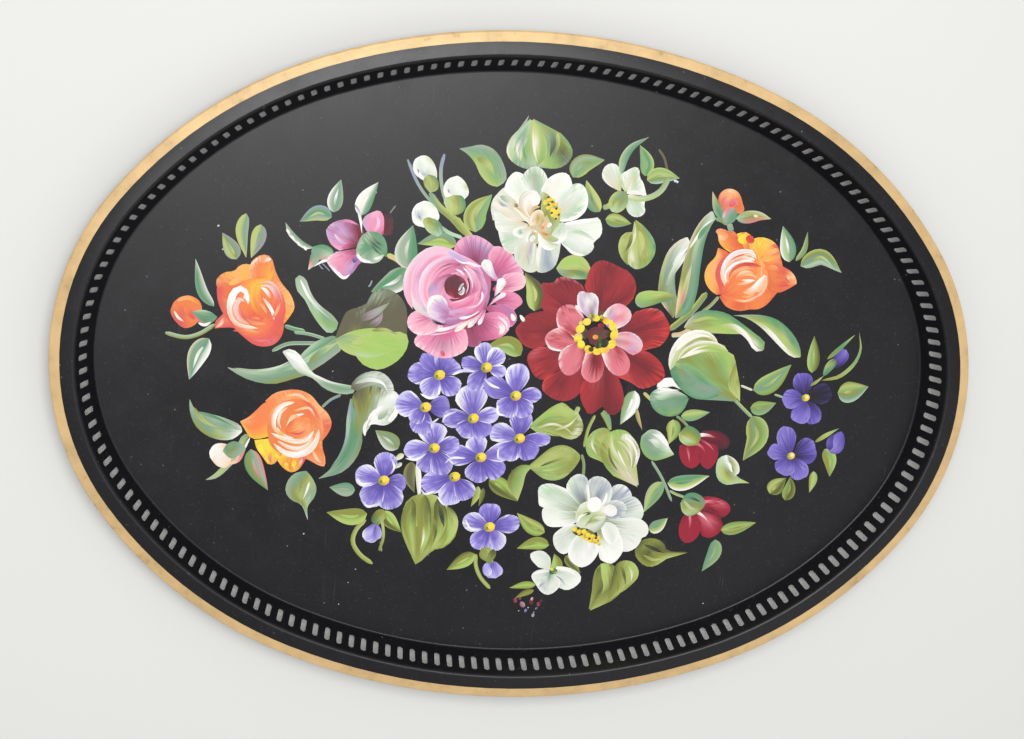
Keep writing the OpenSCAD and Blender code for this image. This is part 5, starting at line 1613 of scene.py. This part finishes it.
    def middle(self, brush):
        petal, sweep, blade = brush.petal, brush.sweep, brush.blade
        petal((7, -35.4), [(14, -40), (22, -40.6), (30, -41.2), (34, -42.6), (38.4, -41.4),
            (41.6, -38), (42.2, -33), (40, -28), (37, -24), (34, -23.4), (31, -20.8), (28, -18.8),
            (24, -20), (19, -23.4), (12, -30)],
            "jgj gjJEg4 gjJjEj6 gjjJEjJg8 gJjjcJjjEJE9 HgJhcjJcjJEjEg")
        sweep([(12, -36.6), (22, -33), (32, -36), (37, -40.4)], 1.6, "j c j c")
        sweep([(12, -34.6), (22, -29), (31, -28)], 2.4, "J g J")
        sweep([(24, -37), (33, -33), (38, -27)], 1.6, "j c j")
        petal((9, -61.6), [(15, -66), (20, -69), (26, -70), (32, -68.4), (37, -64), (41, -58),
            (42.4, -53.4), (39.4, -50), (34, -47), (29, -46.4), (23, -48.4), (18, -52.6)],
            "JjJ JgjJ4 gjJjJ6 jgJjJJ8 jgjJJjgJ9 jjgjJgJHJ")
        sweep([(17, -61), (26, -57), (37, -53)], 1.6, "z J j")
        sweep([(18, -64), (28, -62), (37, -57)], 1.6, "j g J")
        petal((72, -63), [(58, -57), (52, -54.4), (47.6, -52.6), (45, -47), (45.4, -42),
            (48, -37.4), (52, -34.6), (57, -33.8), (61, -37), (64, -42)],
            "gJj gJjJ4 gjJjg6 EggjJJ8 EEgjgJJj9 EEEggggJJ")
        petal((82.6, -72), [(65, -65), (59, -59), (55, -51), (55.6, -43), (60, -36.4), (65, -34.4),
            (70, -35), (74, -38), (76, -43)], "iij jijj4 jJjjj6 jgJjgEE8 EgJJjEEE9 EgJJJEEEE")
        petal((76, -60), [(66, -44), (68, -37), (73, -37.6), (78, -42.6), (80.8, -49),
            (79.4, -57)], "jjJ jcJc4 jcjwj6 EjcJcw8 EcwjJww9 Ejcwwww")
        sweep([(69.6, -39), (75, -43), (78.6, -50), (78, -57)], 1.6, "w c w w")
        sweep([(64.6, -42), (70.4, -46), (75, -53), (76, -61)], 2.6, "j cJ wJ w")
        sweep([(64, -39), (71, -44), (76, -51)], 1.4, "E j c")
        sweep([(61, -37), (62, -46), (68, -56), (78, -67)], 3, "j cj jg i c")
        sweep([(60, -46), (62, -54), (68, -62)], 1.6, "J z J")
        sweep([(66, -48), (70, -55), (75, -62)], 1.2, "w c j")
        sweep([(50, -38), (49, -45), (53, -52)], 1.6, "E c j")

    def low(self, brush):
        petal, sweep, blade = brush.petal, brush.sweep, brush.blade
        petal((-52, -104), [(-66, -104), (-68, -94), (-65.6, -87), (-60, -83.2), (-52, -82),
            (-46, -84), (-41, -88.8), (-36, -94.6), (-33, -101), (-32.4, -107), (-35, -112.6),
            (-40, -117.4), (-46, -119), (-51, -123.4), (-56.6, -129.6), (-60.4, -123.6),
            (-63.4, -114), (-66, -104)], "J jJJJJJ5 JJjJjJJ8 jJjJJJEj", 0.1, 0.02)
        sweep([(-62.6, -86), (-64, -102), (-60.6, -117), (-56.8, -129)], 9.6, "zJ JEJz JjJE JjJ J")
        sweep([(-40, -90), (-35.6, -101), (-38, -112), (-43, -117.6)], 7, "zJ jjE jEJ J")
        sweep([(-46.6, -85), (-43.6, -98), (-45.4, -110), (-49, -121)], 8.6, "zz zJJz EjJz EjJ J")
        sweep([(-55, -83), (-54.4, -97), (-53, -110), (-55, -124)], 9, "zJ zJJ EjJJ EjJ J")
        sweep([(-54, -104), (-53.6, -112), (-55, -120)], 1.4, "j c j")
        sweep([(-48, -98), (-46, -107), (-47.6, -116)], 1.8, "J z J")
        sweep([(-45, -90), (-43, -97), (-41, -104)], 3, "z D z")
        # the leaf at the lower right
        petal((58, -156.6), [(59, -142), (58.8, -134), (60.4, -127), (65, -123.2), (70, -124),
            (74, -128), (78, -137), (77.6, -143.4), (72, -149.4)],
            "jJj jJzJj4 jJJzJJ6 jJzJjJJ8 JjzJJjJJ9 JjEJzJJjJ")
        blade([(62.6, -124), (64, -132), (66, -140), (63, -150)], [(68, -124), (71, -132),
            (71, -141)], "jE EjJ jJz zJ j")
        petal((70, -149), [(72, -126), (74, -123), (78, -121.2), (84, -122.2), (88, -127),
            (88.4, -132), (85, -137), (81, -141)], "JJj zJjJ4 zJjJj6 zJEjJj8 zJjEjjJ9 zJjjjjJJ")
        sweep([(76, -124), (79, -131), (81, -139)], 2.0, "J z J")
        sweep([(72, -126), (75, -134), (76, -143)], 2.0, "z J z")
        sweep([(81, -124), (84, -130), (84, -136)], 1.4, "j c j")
        petal((95, -115), [(119.6, -114.2), (112, -117), (106, -119), (101, -123), (95, -125),
            (89, -122.4), (84.4, -116), (86, -109), (91, -106), (97, -105.6), (102.6, -108),
            (106, -113.2), (119, -113.6)], "JzJ JJzJzJ5 JjJJzJzJ8 JjjJJzJzZJ", 0.1, 0.02)
        sweep([(90, -110), (97, -112.6), (106, -115.6)], 2.4, "z k J")
        sweep([(90, -117), (97, -120), (105, -118.6)], 2, "J j J")
        blade([(4.6, -84.4), (7, -75), (8.6, -66), (13, -60.6)],
            [(-3, -74), (-1.6, -66), (4, -61)], "j jgJ jgJz jgJ jg", 0.1)


class TRAY_OT_long_leaves(PaintStep, bpy.types.Operator):
    """Paint the long bladed leaves at the left and right"""
    bl_idname = "tray.long_leaves"
    bl_label = "Long Leaves"
    node, slot = "long_leaves", "leaf_paint"

    def paint(self, brush):
        sweep, blade = brush.sweep, brush.blade
        blade([(93, 39), (82, 52), (81, 62), (82, 72), (85, 82), (90, 88), (96, 91.4)],
            [(95, 48), (92.6, 56), (91, 66), (92, 74), (96, 82), (98.6, 88)],
            "ZJH AHJH ZJmH jHmH jmHh imVh iVw c", 0.1)
        blade([(85.4, 60), (88, 70), (92, 77), (98.4, 84)], [(87.4, 60), (91, 68), (95, 75)],
            "m Vm Vw m", 0.1)
        sweep([(89, 72), (92.6, 79), (98, 85.6)], 2.6, "V w w")
        blade([(94, 39), (94, 52), (94.6, 66), (96.6, 82), (99.6, 94), (105, 104), (110, 108.8)],
            [(103, 44), (106.4, 58), (106.6, 72), (107.6, 88), (110, 98), (113.4, 106)],
            "AJHG AjHHG JjHHG JJHHG iJmHG iJhHG iJhmG imhVm cm", 0.1)
        sweep([(98.4, 84), (103, 93), (108, 100.6), (113, 104)], 1.6, "c w w w")
        sweep([(103, 90), (106.6, 97), (111.4, 102.4)], 3, "H G mG m")
        sweep([(97, 48), (99, 62), (101, 76)], 3.4, "T j i H")
        sweep([(98, 45), (101, 56), (102, 68)], 2.4, "G H H")
        blade([(95, 53), (87, 55.6), (80, 56), (74, 55.8), (68.6, 53.6), (67, 50)],
            [(90, 50.6), (84, 49), (78, 46.6), (71, 44.8), (68, 46.6)],
            "JH jJG EjJG jEgJ jEgH jgm j", 0.1)
        sweep([(113, 104), (117, 103), (121, 101)], 2.6, "H J m", "stem")
        blade([(100, 33.6), (104, 41), (111, 45), (120, 46), (128, 44.4), (137, 39.4), (146, 33.6),
            (153, 29), (155.2, 26), (154, 22.4)], [(105, 32.6), (112, 31), (120, 31.4),
            (131, 31.6), (139.6, 31.6), (143, 28), (147, 22.8), (151, 21)],
            "iJ HJj GgEj GgEE5 GGEEj GGEEE Ggjcw ggcww Hgjww Ggmw HgH Hm", 0.1)
        sweep([(124, 36.6), (133, 36.4), (141, 31.6), (147, 25), (151, 22.4)], 3.4,
            "j cj wc ww w w")
        sweep([(106, 38), (115, 41), (126, 39.6)], 2.2, "j E g")
        sweep([(104, 41.4), (113, 45), (124, 45)], 2.0, "H G G")
        blade([(131, 43.6), (140, 44.6), (150, 45), (160, 43), (168, 38), (174, 32), (178, 25.4),
            (179.4, 19.4)], [(138, 43), (145, 40.4), (152, 36), (158, 31), (165, 25), (171, 20.4),
            (175.4, 18.8)], "m mj HJj GgEc GGjc GgjEw GHjjw HGgjw Hgjc gj", 0.1)
        sweep([(147, 41), (157, 34.6), (165, 27.6), (173, 20.6)], 2, "j c w w j")
        # left side
        blade([(-182.6, -8), (-170, -9.6), (-160, -9), (-150, -6), (-140, 0), (-135, 6),
            (-128, 12), (-119, 15.6)], [(-172, -14), (-160, -17), (-150, -16.4), (-142, -13),
            (-135, -11), (-130, -7), (-121, 0), (-112, 10)],
            "m hmH hHH mHJ hHJ mHHJ hHHm hGHm hGHm HHm HJ", 0.1)
        sweep([(-178, -8.4), (-165, -9.4), (-152, -6.4), (-141, 0)], 1.8, "m h V h")
        sweep([(-152, -9), (-140, -5), (-129, 4), (-118, 13)], 3.6, "H h Hm m")
        sweep([(-133, -2), (-124, 6), (-115, 12)], 4, "J H j m")
        blade([(-144.6, 49), (-142, 51.4), (-138, 49), (-135, 42), (-130, 35), (-120, 27.6),
            (-116.6, 23.4)], [(-143, 42), (-138, 36.6), (-133.6, 29), (-128, 21.6), (-122, 16.6),
            (-118, 18.6)], "m mh Vmh mHh Vhg mHgh mHgh mgH mH", 0.1)
        sweep([(-141.6, 49), (-135, 37.6), (-127, 29.6), (-119, 24)], 1.8, "w V h G")
        blade([(-149.6, 3.6), (-146, 5.4), (-141, 4.2), (-135, -2.6), (-130, -8.6), (-120, -13),
            (-110, -14.8), (-102.6, -15.6)], [(-146, -1), (-142, -6), (-138, -9.4), (-130, -12),
            (-122, -18.4), (-112, -21), (-104.6, -20)], "V wwV wvm wvh wVm hmH mHh hHm hHh hH",
            0.1)
        sweep([(-147, 3), (-139, -1), (-131, -8)], 3, "w w V h")
        sweep([(-131, -9), (-120, -13.6), (-108, -15.6)], 1.4, "w V h")
        blade([(-152.6, 83), (-147, 77), (-141, 72), (-134, 68.6)], [(-150.6, 76), (-145, 70.6),
            (-140, 67.6)], "m Hmw Hmw Gmw GH", 0.1)
        for x, y in ((-150.6, 77.6), (-147.6, 73.8), (-143.8, 70.4), (-139.8, 68)):
            brush.dab((x, y), (3.2, 1.6), "w w", -50)
        blade([(-134.6, 69.6), (-129, 71), (-123.4, 68.6), (-122, 64)],
            [(-136, 66), (-132, 62.6), (-126, 61)], "GH GHm GhT mh", 0.1)
        sweep([(-132, 68), (-134, 61), (-137, 55)], 6, "H mG mT c")
        sweep([(-124, 62), (-129, 60.6), (-134, 57)], 1.6, "w w c")
        blade([(-203.6, -29), (-199, -36.6), (-190, -38), (-180, -40.6), (-172, -44.4),
            (-170.6, -48)], [(-203, -37), (-199, -46), (-192, -51.6), (-184, -54), (-176, -53)],
            "m mH mHJ mHHJ hmHHJ mHjJ mHmh mVw w", 0.1)
        sweep([(-201, -34), (-195, -42), (-184, -47)], 2.4, "J j H")
        sweep([(-199, -37), (-188, -39.6), (-176, -45)], 2.0, "H G H")
        blade([(-165.6, -49), (-170, -60), (-177, -71), (-185, -78.6), (-191.6, -80)],
            [(-170, -50), (-174, -58), (-180, -68), (-186, -75.6)], "JH Hjm mjJ mjH mj m", 0.1)
        sweep([(-165.6, -51), (-170, -61), (-178, -72)], 1.4, "w c m")
        blade([(-106, -23), (-107.4, -36), (-107.6, -50), (-111, -61), (-116, -70), (-122.6, -76)],
            [(-100, -28), (-97.6, -42), (-96.8, -52), (-100, -62), (-108, -71)],
            "sHJ hHHJ hGHJ mGHH HGHJ HGHm HHH mH m", 0.1)
        sweep([(-105.4, -26), (-106, -42), (-108, -56), (-115, -68)], 1.8, "s h s H m")
        sweep([(-101.6, -34), (-101, -48), (-103, -60)], 2.4, "J G H")


class TRAY_OT_small_leaves(PaintStep, bpy.types.Operator):
    """Paint the small leaves, one loaded pull of the brush each"""
    bl_idname = "tray.small_leaves"
    bl_label = "Small Leaves"
    node, slot = "small_leaves", "leaf_paint"

    def paint(self, brush):
        for base, bend, tip, width, load in (
                # upper left, grey mint
                ((-124, 91), (-123.6, 99), (-121, 111), 9.4, "wmHHm"),
                ((-108, 90), (-106, 99), (-98.6, 111), 10, "wcVHG"),
                ((-125, 88), (-133, 90), (-144, 84), 9.4, "jmHGHs"),
                ((-76.6, 60), (-78.6, 70), (-75.6, 86.4), 14, "VmmHGG"),
                ((-78, 60), (-83, 52), (-98, 44), 14, "wmHGGm"),
                ((-48, 76), (-58, 79), (-72, 75.4), 9.4, "jEJHH"),
                ((-37, 85), (-38, 96), (-29, 108.6), 14, "jJjHgg"),
                ((-180, 58.6), (-183, 64), (-189.4, 74), 9.6, "mjJHS"),
                ((-176, 86.6), (-178, 76), (-174.6, 60), 7.6, "mHjj"),
                ((-167, 80.6), (-168, 72), (-171.6, 60), 9, "SHjj"),
                ((-192, 29), (-199, 37), (-204.4, 57), 6.4, "HGmV"),
                ((-194, 9), (-200, -1), (-204.4, -17), 12, "wVGHHi"),
                ((-74, -54), (-79, -50), (-89, -43), 11, "VmJHJ"),
                ((-165, -59), (-162, -70), (-153, -84.6), 11, "TmHJG"),
                ((-99, -82), (-105, -82), (-115, -81), 9, "mmHHG"),
                ((-70, -57.6), (-72, -58.6), (-76, -62), 3.6, "cj"),
                ((-71, -63), (-73, -65), (-75, -67), 2.6, "cm"),
                # centre
                ((20, 123), (25, 131), (38.6, 135), 12, "JmgHgj"),
                ((39, 103), (34, 109), (28.6, 121.6), 9.4, "GHJjj"),
                ((43, 98.6), (49, 98.4), (59.6, 97), 8.6, "JjgJH"),
                ((65, 127), (65.6, 135), (60, 145.6), 8.8, "HgGj"),
                ((66.6, 124.6), (74, 128), (87, 127.4), 10, "jgjJHh"),
                ((4, 38.4), (3.6, 50), (-4, 62), 12, "jjJzZ"),
                ((-2, 10), (-10, 16), (-24, 14.4), 11.6, "jgJJJ"),
                ((73, -8.6), (71, -19), (66, -31), 11, "VwVmgH"),
                ((75.4, -20), (77, -26), (80.6, -34), 2.6, "IJ"),
                ((105, -23.6), (112, -22.6), (123.6, -20), 7.6, "gjgH"),
                ((100, -26), (101, -34), (99, -42), 9.4, "JgjjJ"),
                ((54, -22.4), (57, -27), (60.6, -34.6), 4, "Hg"),
                ((-1, -64), (2, -72), (4, -84), 3, "Jz"),
                ((-15, -71.6), (-8, -75), (4.6, -84.6), 11, "JEJzJ"),
                ((-21.6, -76), (-22, -82), (-25, -89.6), 4.4, "jJ"),
                ((-18, -77), (-18.6, -83), (-20, -89), 3.4, "zJ"),
                ((-64.6, -62), (-65.6, -72), (-61.6, -82), 7.6, "JZZJ"),
                ((-61.4, -62), (-59.6, -73), (-58, -89), 3.6, "wcV"),
                # right
                ((164, 80), (161.6, 90), (157, 102.4), 10.4, "whjHHG"),
                ((168, 81), (172.6, 88), (173.6, 100), 3.8, "jHJ"),
                ((171.6, 78), (184, 84.6), (199, 75.6), 10.6, "jJHHhm"),
                ((188, 9.6), (188, 18), (186.6, 33.6), 8.4, "jgJz"),
                ((150.6, -4), (161, 1), (173.6, 14), 12.6, "jgHHgJ"),
                ((150, -15.6), (157, -15.4), (166.6, -11.6), 9.4, "JgJHg"),
                ((152, -21), (157, -34), (149.4, -50.6), 15, "jgJHJj"),
                ((207, -2.4), (215, -1.6), (227, 2.6), 14, "JjgJHh"),
                ((203, -40.4), (207.6, -47), (209, -58.6), 9, "jgJJ"),
                ((197.6, -55.6), (198, -62), (196.6, -70), 5.6, "gjJ"),
                ((181, -76), (183, -68), (182.4, -60), 8.6, "gJzJ"),
                ((170, -72), (173, -67.6), (179.6, -61), 11, "JjJzJ"),
                ((140, -98), (148, -96.6), (163, -92), 8.6, "JgjJg"),
                ((97.6, -67.6), (93, -75), (87.6, -88), 10, "gHgjm"),
                ((101, -68), (111, -67.6), (128, -62), 10.4, "HGgjw"),
                ((92, -99.6), (97, -97.6), (103.6, -91.6), 8.6, "HHgjw"),
                ((137, -104.6), (137.6, -113), (130.6, -126.6), 9.4, "mgHHG"),
                # lower left and low
                ((24, -104.6), (15, -101), (5, -92.6), 9.6, "JEJjJ"),
                ((27.6, -113), (19, -112), (7, -116), 8.6, "JEJJ"),
                ((33.6, -132), (34, -125), (31.6, -118.6), 7.8, "jEJJ"),
                ((39, -119.6), (43, -124), (50, -131), 6.4, "JJzJ"),
                ((21.4, -140), (14, -140.4), (4.6, -142.6), 5, "JEJ"),
                ((20.6, -143.6), (15, -145.6), (8.6, -149.4), 4.2, "JJz"),
                ((-90.4, -97), (-100, -99.6), (-115.6, -97.4), 11, "jEJJJ"),
                ((-80.6, -95), (-76, -101), (-68, -108.4), 9, "jEJzJ"),
                ((-20, -120.6), (-26, -125), (-37, -132), 9.4, "jEJJz")):
            rows = f"{load} {load}4 {load}7 {load[len(load) // 2:]}"
            brush.sweep([base, bend, tip], width, rows, "leaf", 0.08)
            middle = Vector(base).lerp(Vector(bend), 0.5)
            if width > 8:
                brush.sweep([middle, bend, Vector(bend).lerp(Vector(tip), 0.6)], width * 0.16,
                            f"{load[1]} {load[0]} {load[-2]}")


class TRAY_OT_stems(PaintStep, bpy.types.Operator):
    """Paint the thin stems and tendrils"""
    bl_idname = "tray.stems"
    bl_label = "Stems"
    node, slot = "stems", "leaf_paint"

    def paint(self, brush):
        for spine, width, load in (
                ([(-91, -101), (-96.6, -108), (-98, -116), (-93, -124), (-84.6, -130)], 2.8, "jJ"),
                ([(-90, 67.4), (-84, 65), (-79, 61), (-75, 56)], 3.2, "jI"),
                ([(43, -52), (45, -58), (45.4, -66)], 1.9, "HJ"),
                ([(49, -26), (45.6, -35), (44, -47)], 2, "jJ"),
                ([(89, -54), (97, -65), (105, -80)], 1.8, "mH"),
                ([(103, -73), (107, -75), (113.6, -77)], 1.8, "Hj"),
                ([(91.4, 32), (98, 38), (105, 45.4), (112.6, 57)], 4, "jJH"),
                ([(111, 44.6), (116, 49), (120.6, 55)], 2.2, "Jm"),
                ([(93, 28.4), (99, 29.6), (105, 33.4)], 3, "Ii"),
                ([(142, -1.4), (150, -4)], 1.5, "Vi"), ([(165, -6), (171, -7.6)], 1.4, "hH"),
                ([(130, -4), (139, -11), (146, -17), (152, -22)], 2.2, "jH"),
                ([(79, -9.6), (82, -12), (87, -16)], 2.2, "Ij"),
                ([(102, -23.6), (107, -27), (112, -32)], 1.8, "HJ"),
                ([(-220, 11), (-208, 9), (-199, 12), (-191, 18)], 2.6, "hJ"),
                ([(-155.6, 3.6), (-147, 8.4), (-137, 9.6), (-125, 10)], 2.4, "mHh"),
                ([(-149, 19.6), (-143, 18), (-136.6, 17)], 2.6, "hGH"),
                ([(-143, 16), (-134, 15.4), (-124, 13)], 2, "hHm"),
                ([(-123, -30), (-118, -25), (-112, -21.6)], 1.7, "mHs"),
                ([(-19, -121), (-18.6, -128), (-15, -136), (-8, -143.6)], 2.6, "JjJ"),
                ([(-80.6, -115), (-79.6, -121.6)], 1.3, "mZ"),
                ([(72, 144), (76, 139), (79, 131)], 1.6, "ZZ"),
                ([(-48.6, 92.6), (-44, 88), (-41, 84)], 1.2, "ms"),
                ([(53, -24), (56, -28), (60, -35)], 2.2, "jJ"),
                ([(38, -21), (36.6, -24.6), (34, -28)], 3, "jg"),
                ([(-87, 97.6), (-90, 93), (-94, 86)], 0.8, "Zm"),
                ([(-98, 51), (-99, 48), (-100, 47)], 0.9, "ms"),
                ([(-129, 59.6), (-126, 57), (-124, 55)], 0.6, "ss"),
                ([(-131, 59), (-129, 56.6), (-128, 56)], 0.6, "ss"),
                ([(83.6, 125.4), (85, 125.2), (86.6, 124.6)], 1.4, "ws"),
                ([(-101, 102.6), (-100, 104), (-99, 105.4)], 0.8, "sS"),
                ([(21, -132), (28, -134), (30, -137)], 0.8, "Vm")):
            brush.sweep(spine, width, " ".join([load] * 3), "stem", 0.05)
        for x, y, size in (
                (-192, 78, 1.5), (-188.6, 64, 1.2), (-129, -112, 1.2), (-95, -134, 0.9),
                (-104, -157.6, 0.9), (-118, -7, 0.8), (134, -148.6, 1.0), (-99, -143, 0.7),
                (12, -158, 0.9), (18, -155.6, 1.1), (22, -158.6, 0.8)):
            brush.dab((x, y), (size, size * 0.8), "VS", 30)
        for x, y, size, tone in (
                (9, -151, 2.6, "tQ"), (14, -153.6, 3.2, "QS"), (19.6, -151.6, 2.8, "td"),
                (24.6, -153, 2.4, "Qt"), (20, -149.6, 1.8, "uQ"), (16.6, -157.6, 1.8, "sN"),
                (21.6, -160.6, 2.0, "sS"), (12, -149.4, 1.6, "dQ"), (26, -150.6, 1.6, "dt"),
                (23.4, -156, 1.4, "sx")):
            brush.dab((x, y), (size * 1.4, size), tone, 40 * size)


# ---------------------------------------------------------------- table, light and camera


TABLE_SIZE = 8.0
WINDOW_PLACE, WINDOW_SIZE = (-0.12, 0.5, 1.6), 0.95
FILL_PLACE, FILL_SIZE, FILL_SHARE = (1.3, -1.3, 1.9), 2.0, 0.2
CAMERA_RIGHT = Vector((0.98489, 0.08924, 0.14836))
CAMERA_UP = Vector((-0.05625, 0.97536, -0.21327))


class TRAY_OT_stage(bpy.types.Operator):
    """Set out the pale table, the soft daylight, the window light and the camera"""
    bl_idname = "tray.stage"
    bl_label = "Table and Light"

    def execute(self, context):
        room = context.scene.tray_room
        bpy.ops.object.select_all(action="DESELECT")
        bpy.ops.mesh.primitive_plane_add(size=TABLE_SIZE, location=(0, 0, 0))
        table = context.object
        table.name = "table"
        finish = Finish("table_top")
        soft = finish.noise(finish.place(), 3.0, 4.0, 0.5)
        finish.surface(Base_Color=finish.blend(soft * 0.3, shade(room.table),
                                               shade(room.table, 0.93)), Roughness=0.8)
        table.data.materials.append(finish.material)
        sky = bpy.data.worlds.new("daylight")
        sky.use_nodes = True
        sky.node_tree.nodes["Background"].inputs["Color"].default_value = (1.0, 1.0, 1.0, 1.0)
        sky.node_tree.nodes["Background"].inputs["Strength"].default_value = room.daylight
        context.scene.world = sky
        self.light("window", WINDOW_PLACE, WINDOW_SIZE, room.window)
        self.light("fill", FILL_PLACE, FILL_SIZE, room.window * FILL_SHARE)
        eye = bpy.data.cameras.new("camera")
        eye.lens = room.lens
        eye.sensor_width = 36.0
        eye.clip_start = 0.01
        camera = bpy.data.objects.new("camera", eye)
        context.collection.objects.link(camera)
        turn = Matrix((CAMERA_RIGHT, CAMERA_UP, CAMERA_RIGHT.cross(CAMERA_UP)))
        turn = turn.transposed().to_4x4()
        camera.matrix_world = Matrix.Translation(room.camera) @ turn
        context.scene.camera = camera
        context.scene.view_settings.view_transform = "Standard"
        return {"FINISHED"}

    @staticmethod
    def light(name, place, size, power):
        """A square soft light that faces the tray."""
        lamp = bpy.data.lights.new(name, "AREA")
        lamp.shape = "SQUARE"
        lamp.size = size
        lamp.energy = power
        holder = bpy.data.objects.new(name, lamp)
        bpy.context.collection.objects.link(holder)
        holder.location = place
        holder.rotation_euler = (-Vector(place)).to_track_quat("-Z", "Y").to_euler()


# ---------------------------------------------------------------- panel and run


STEPS = (
    TRAY_OT_lacquer, TRAY_OT_gild, TRAY_OT_wire, TRAY_OT_stems, TRAY_OT_small_leaves,
    TRAY_OT_long_leaves, TRAY_OT_broad_leaves, TRAY_OT_dark_violets, TRAY_OT_light_violets,
    TRAY_OT_crimson_buds, TRAY_OT_white_blossoms, TRAY_OT_white_buds, TRAY_OT_pink_tulips,
    TRAY_OT_orange_rose_right, TRAY_OT_orange_rose_upper_left, TRAY_OT_orange_rose_lower_left,
    TRAY_OT_orange_buds, TRAY_OT_white_anemone, TRAY_OT_dahlia, TRAY_OT_pink_rose,
    TRAY_OT_white_peony, TRAY_OT_stage,
)
SETTINGS = (
    ("tray_pigments", TrayPigments), ("tray_brush", TrayBrush),
    ("tray_finish", TrayFinish), ("tray_room", TrayRoom),
)


class TRAY_PT_panel(bpy.types.Panel):
    """Every step of painting the tray"""
    bl_idname = "TRAY_PT_panel"
    bl_label = "Zhostovo Tray"
    bl_space_type = "VIEW_3D"
    bl_region_type = "UI"
    bl_category = "Tray"

    def draw(self, context):
        for key, kind in SETTINGS[1:]:
            box = self.layout.box()
            for prop in kind.__annotations__:
                box.prop(getattr(context.scene, key), prop)
        for step in STEPS:
            self.layout.operator(step.bl_idname)


def register():
    for key, kind in SETTINGS:
        bpy.utils.register_class(kind)
        setattr(bpy.types.Scene, key, PointerProperty(type=kind))
    for kind in STEPS + (TRAY_PT_panel,):
        bpy.utils.register_class(kind)


def unregister():
    for kind in (TRAY_PT_panel,) + STEPS[::-1]:
        bpy.utils.unregister_class(kind)
    for key, kind in SETTINGS[::-1]:
        delattr(bpy.types.Scene, key)
        bpy.utils.unregister_class(kind)


def main():
    register()
    bpy.ops.object.select_all(action="DESELECT")
    for step in STEPS:
        family, action = step.bl_idname.split(".")
        getattr(getattr(bpy.ops, family), action)()


if __name__ == "__main__":
    main()
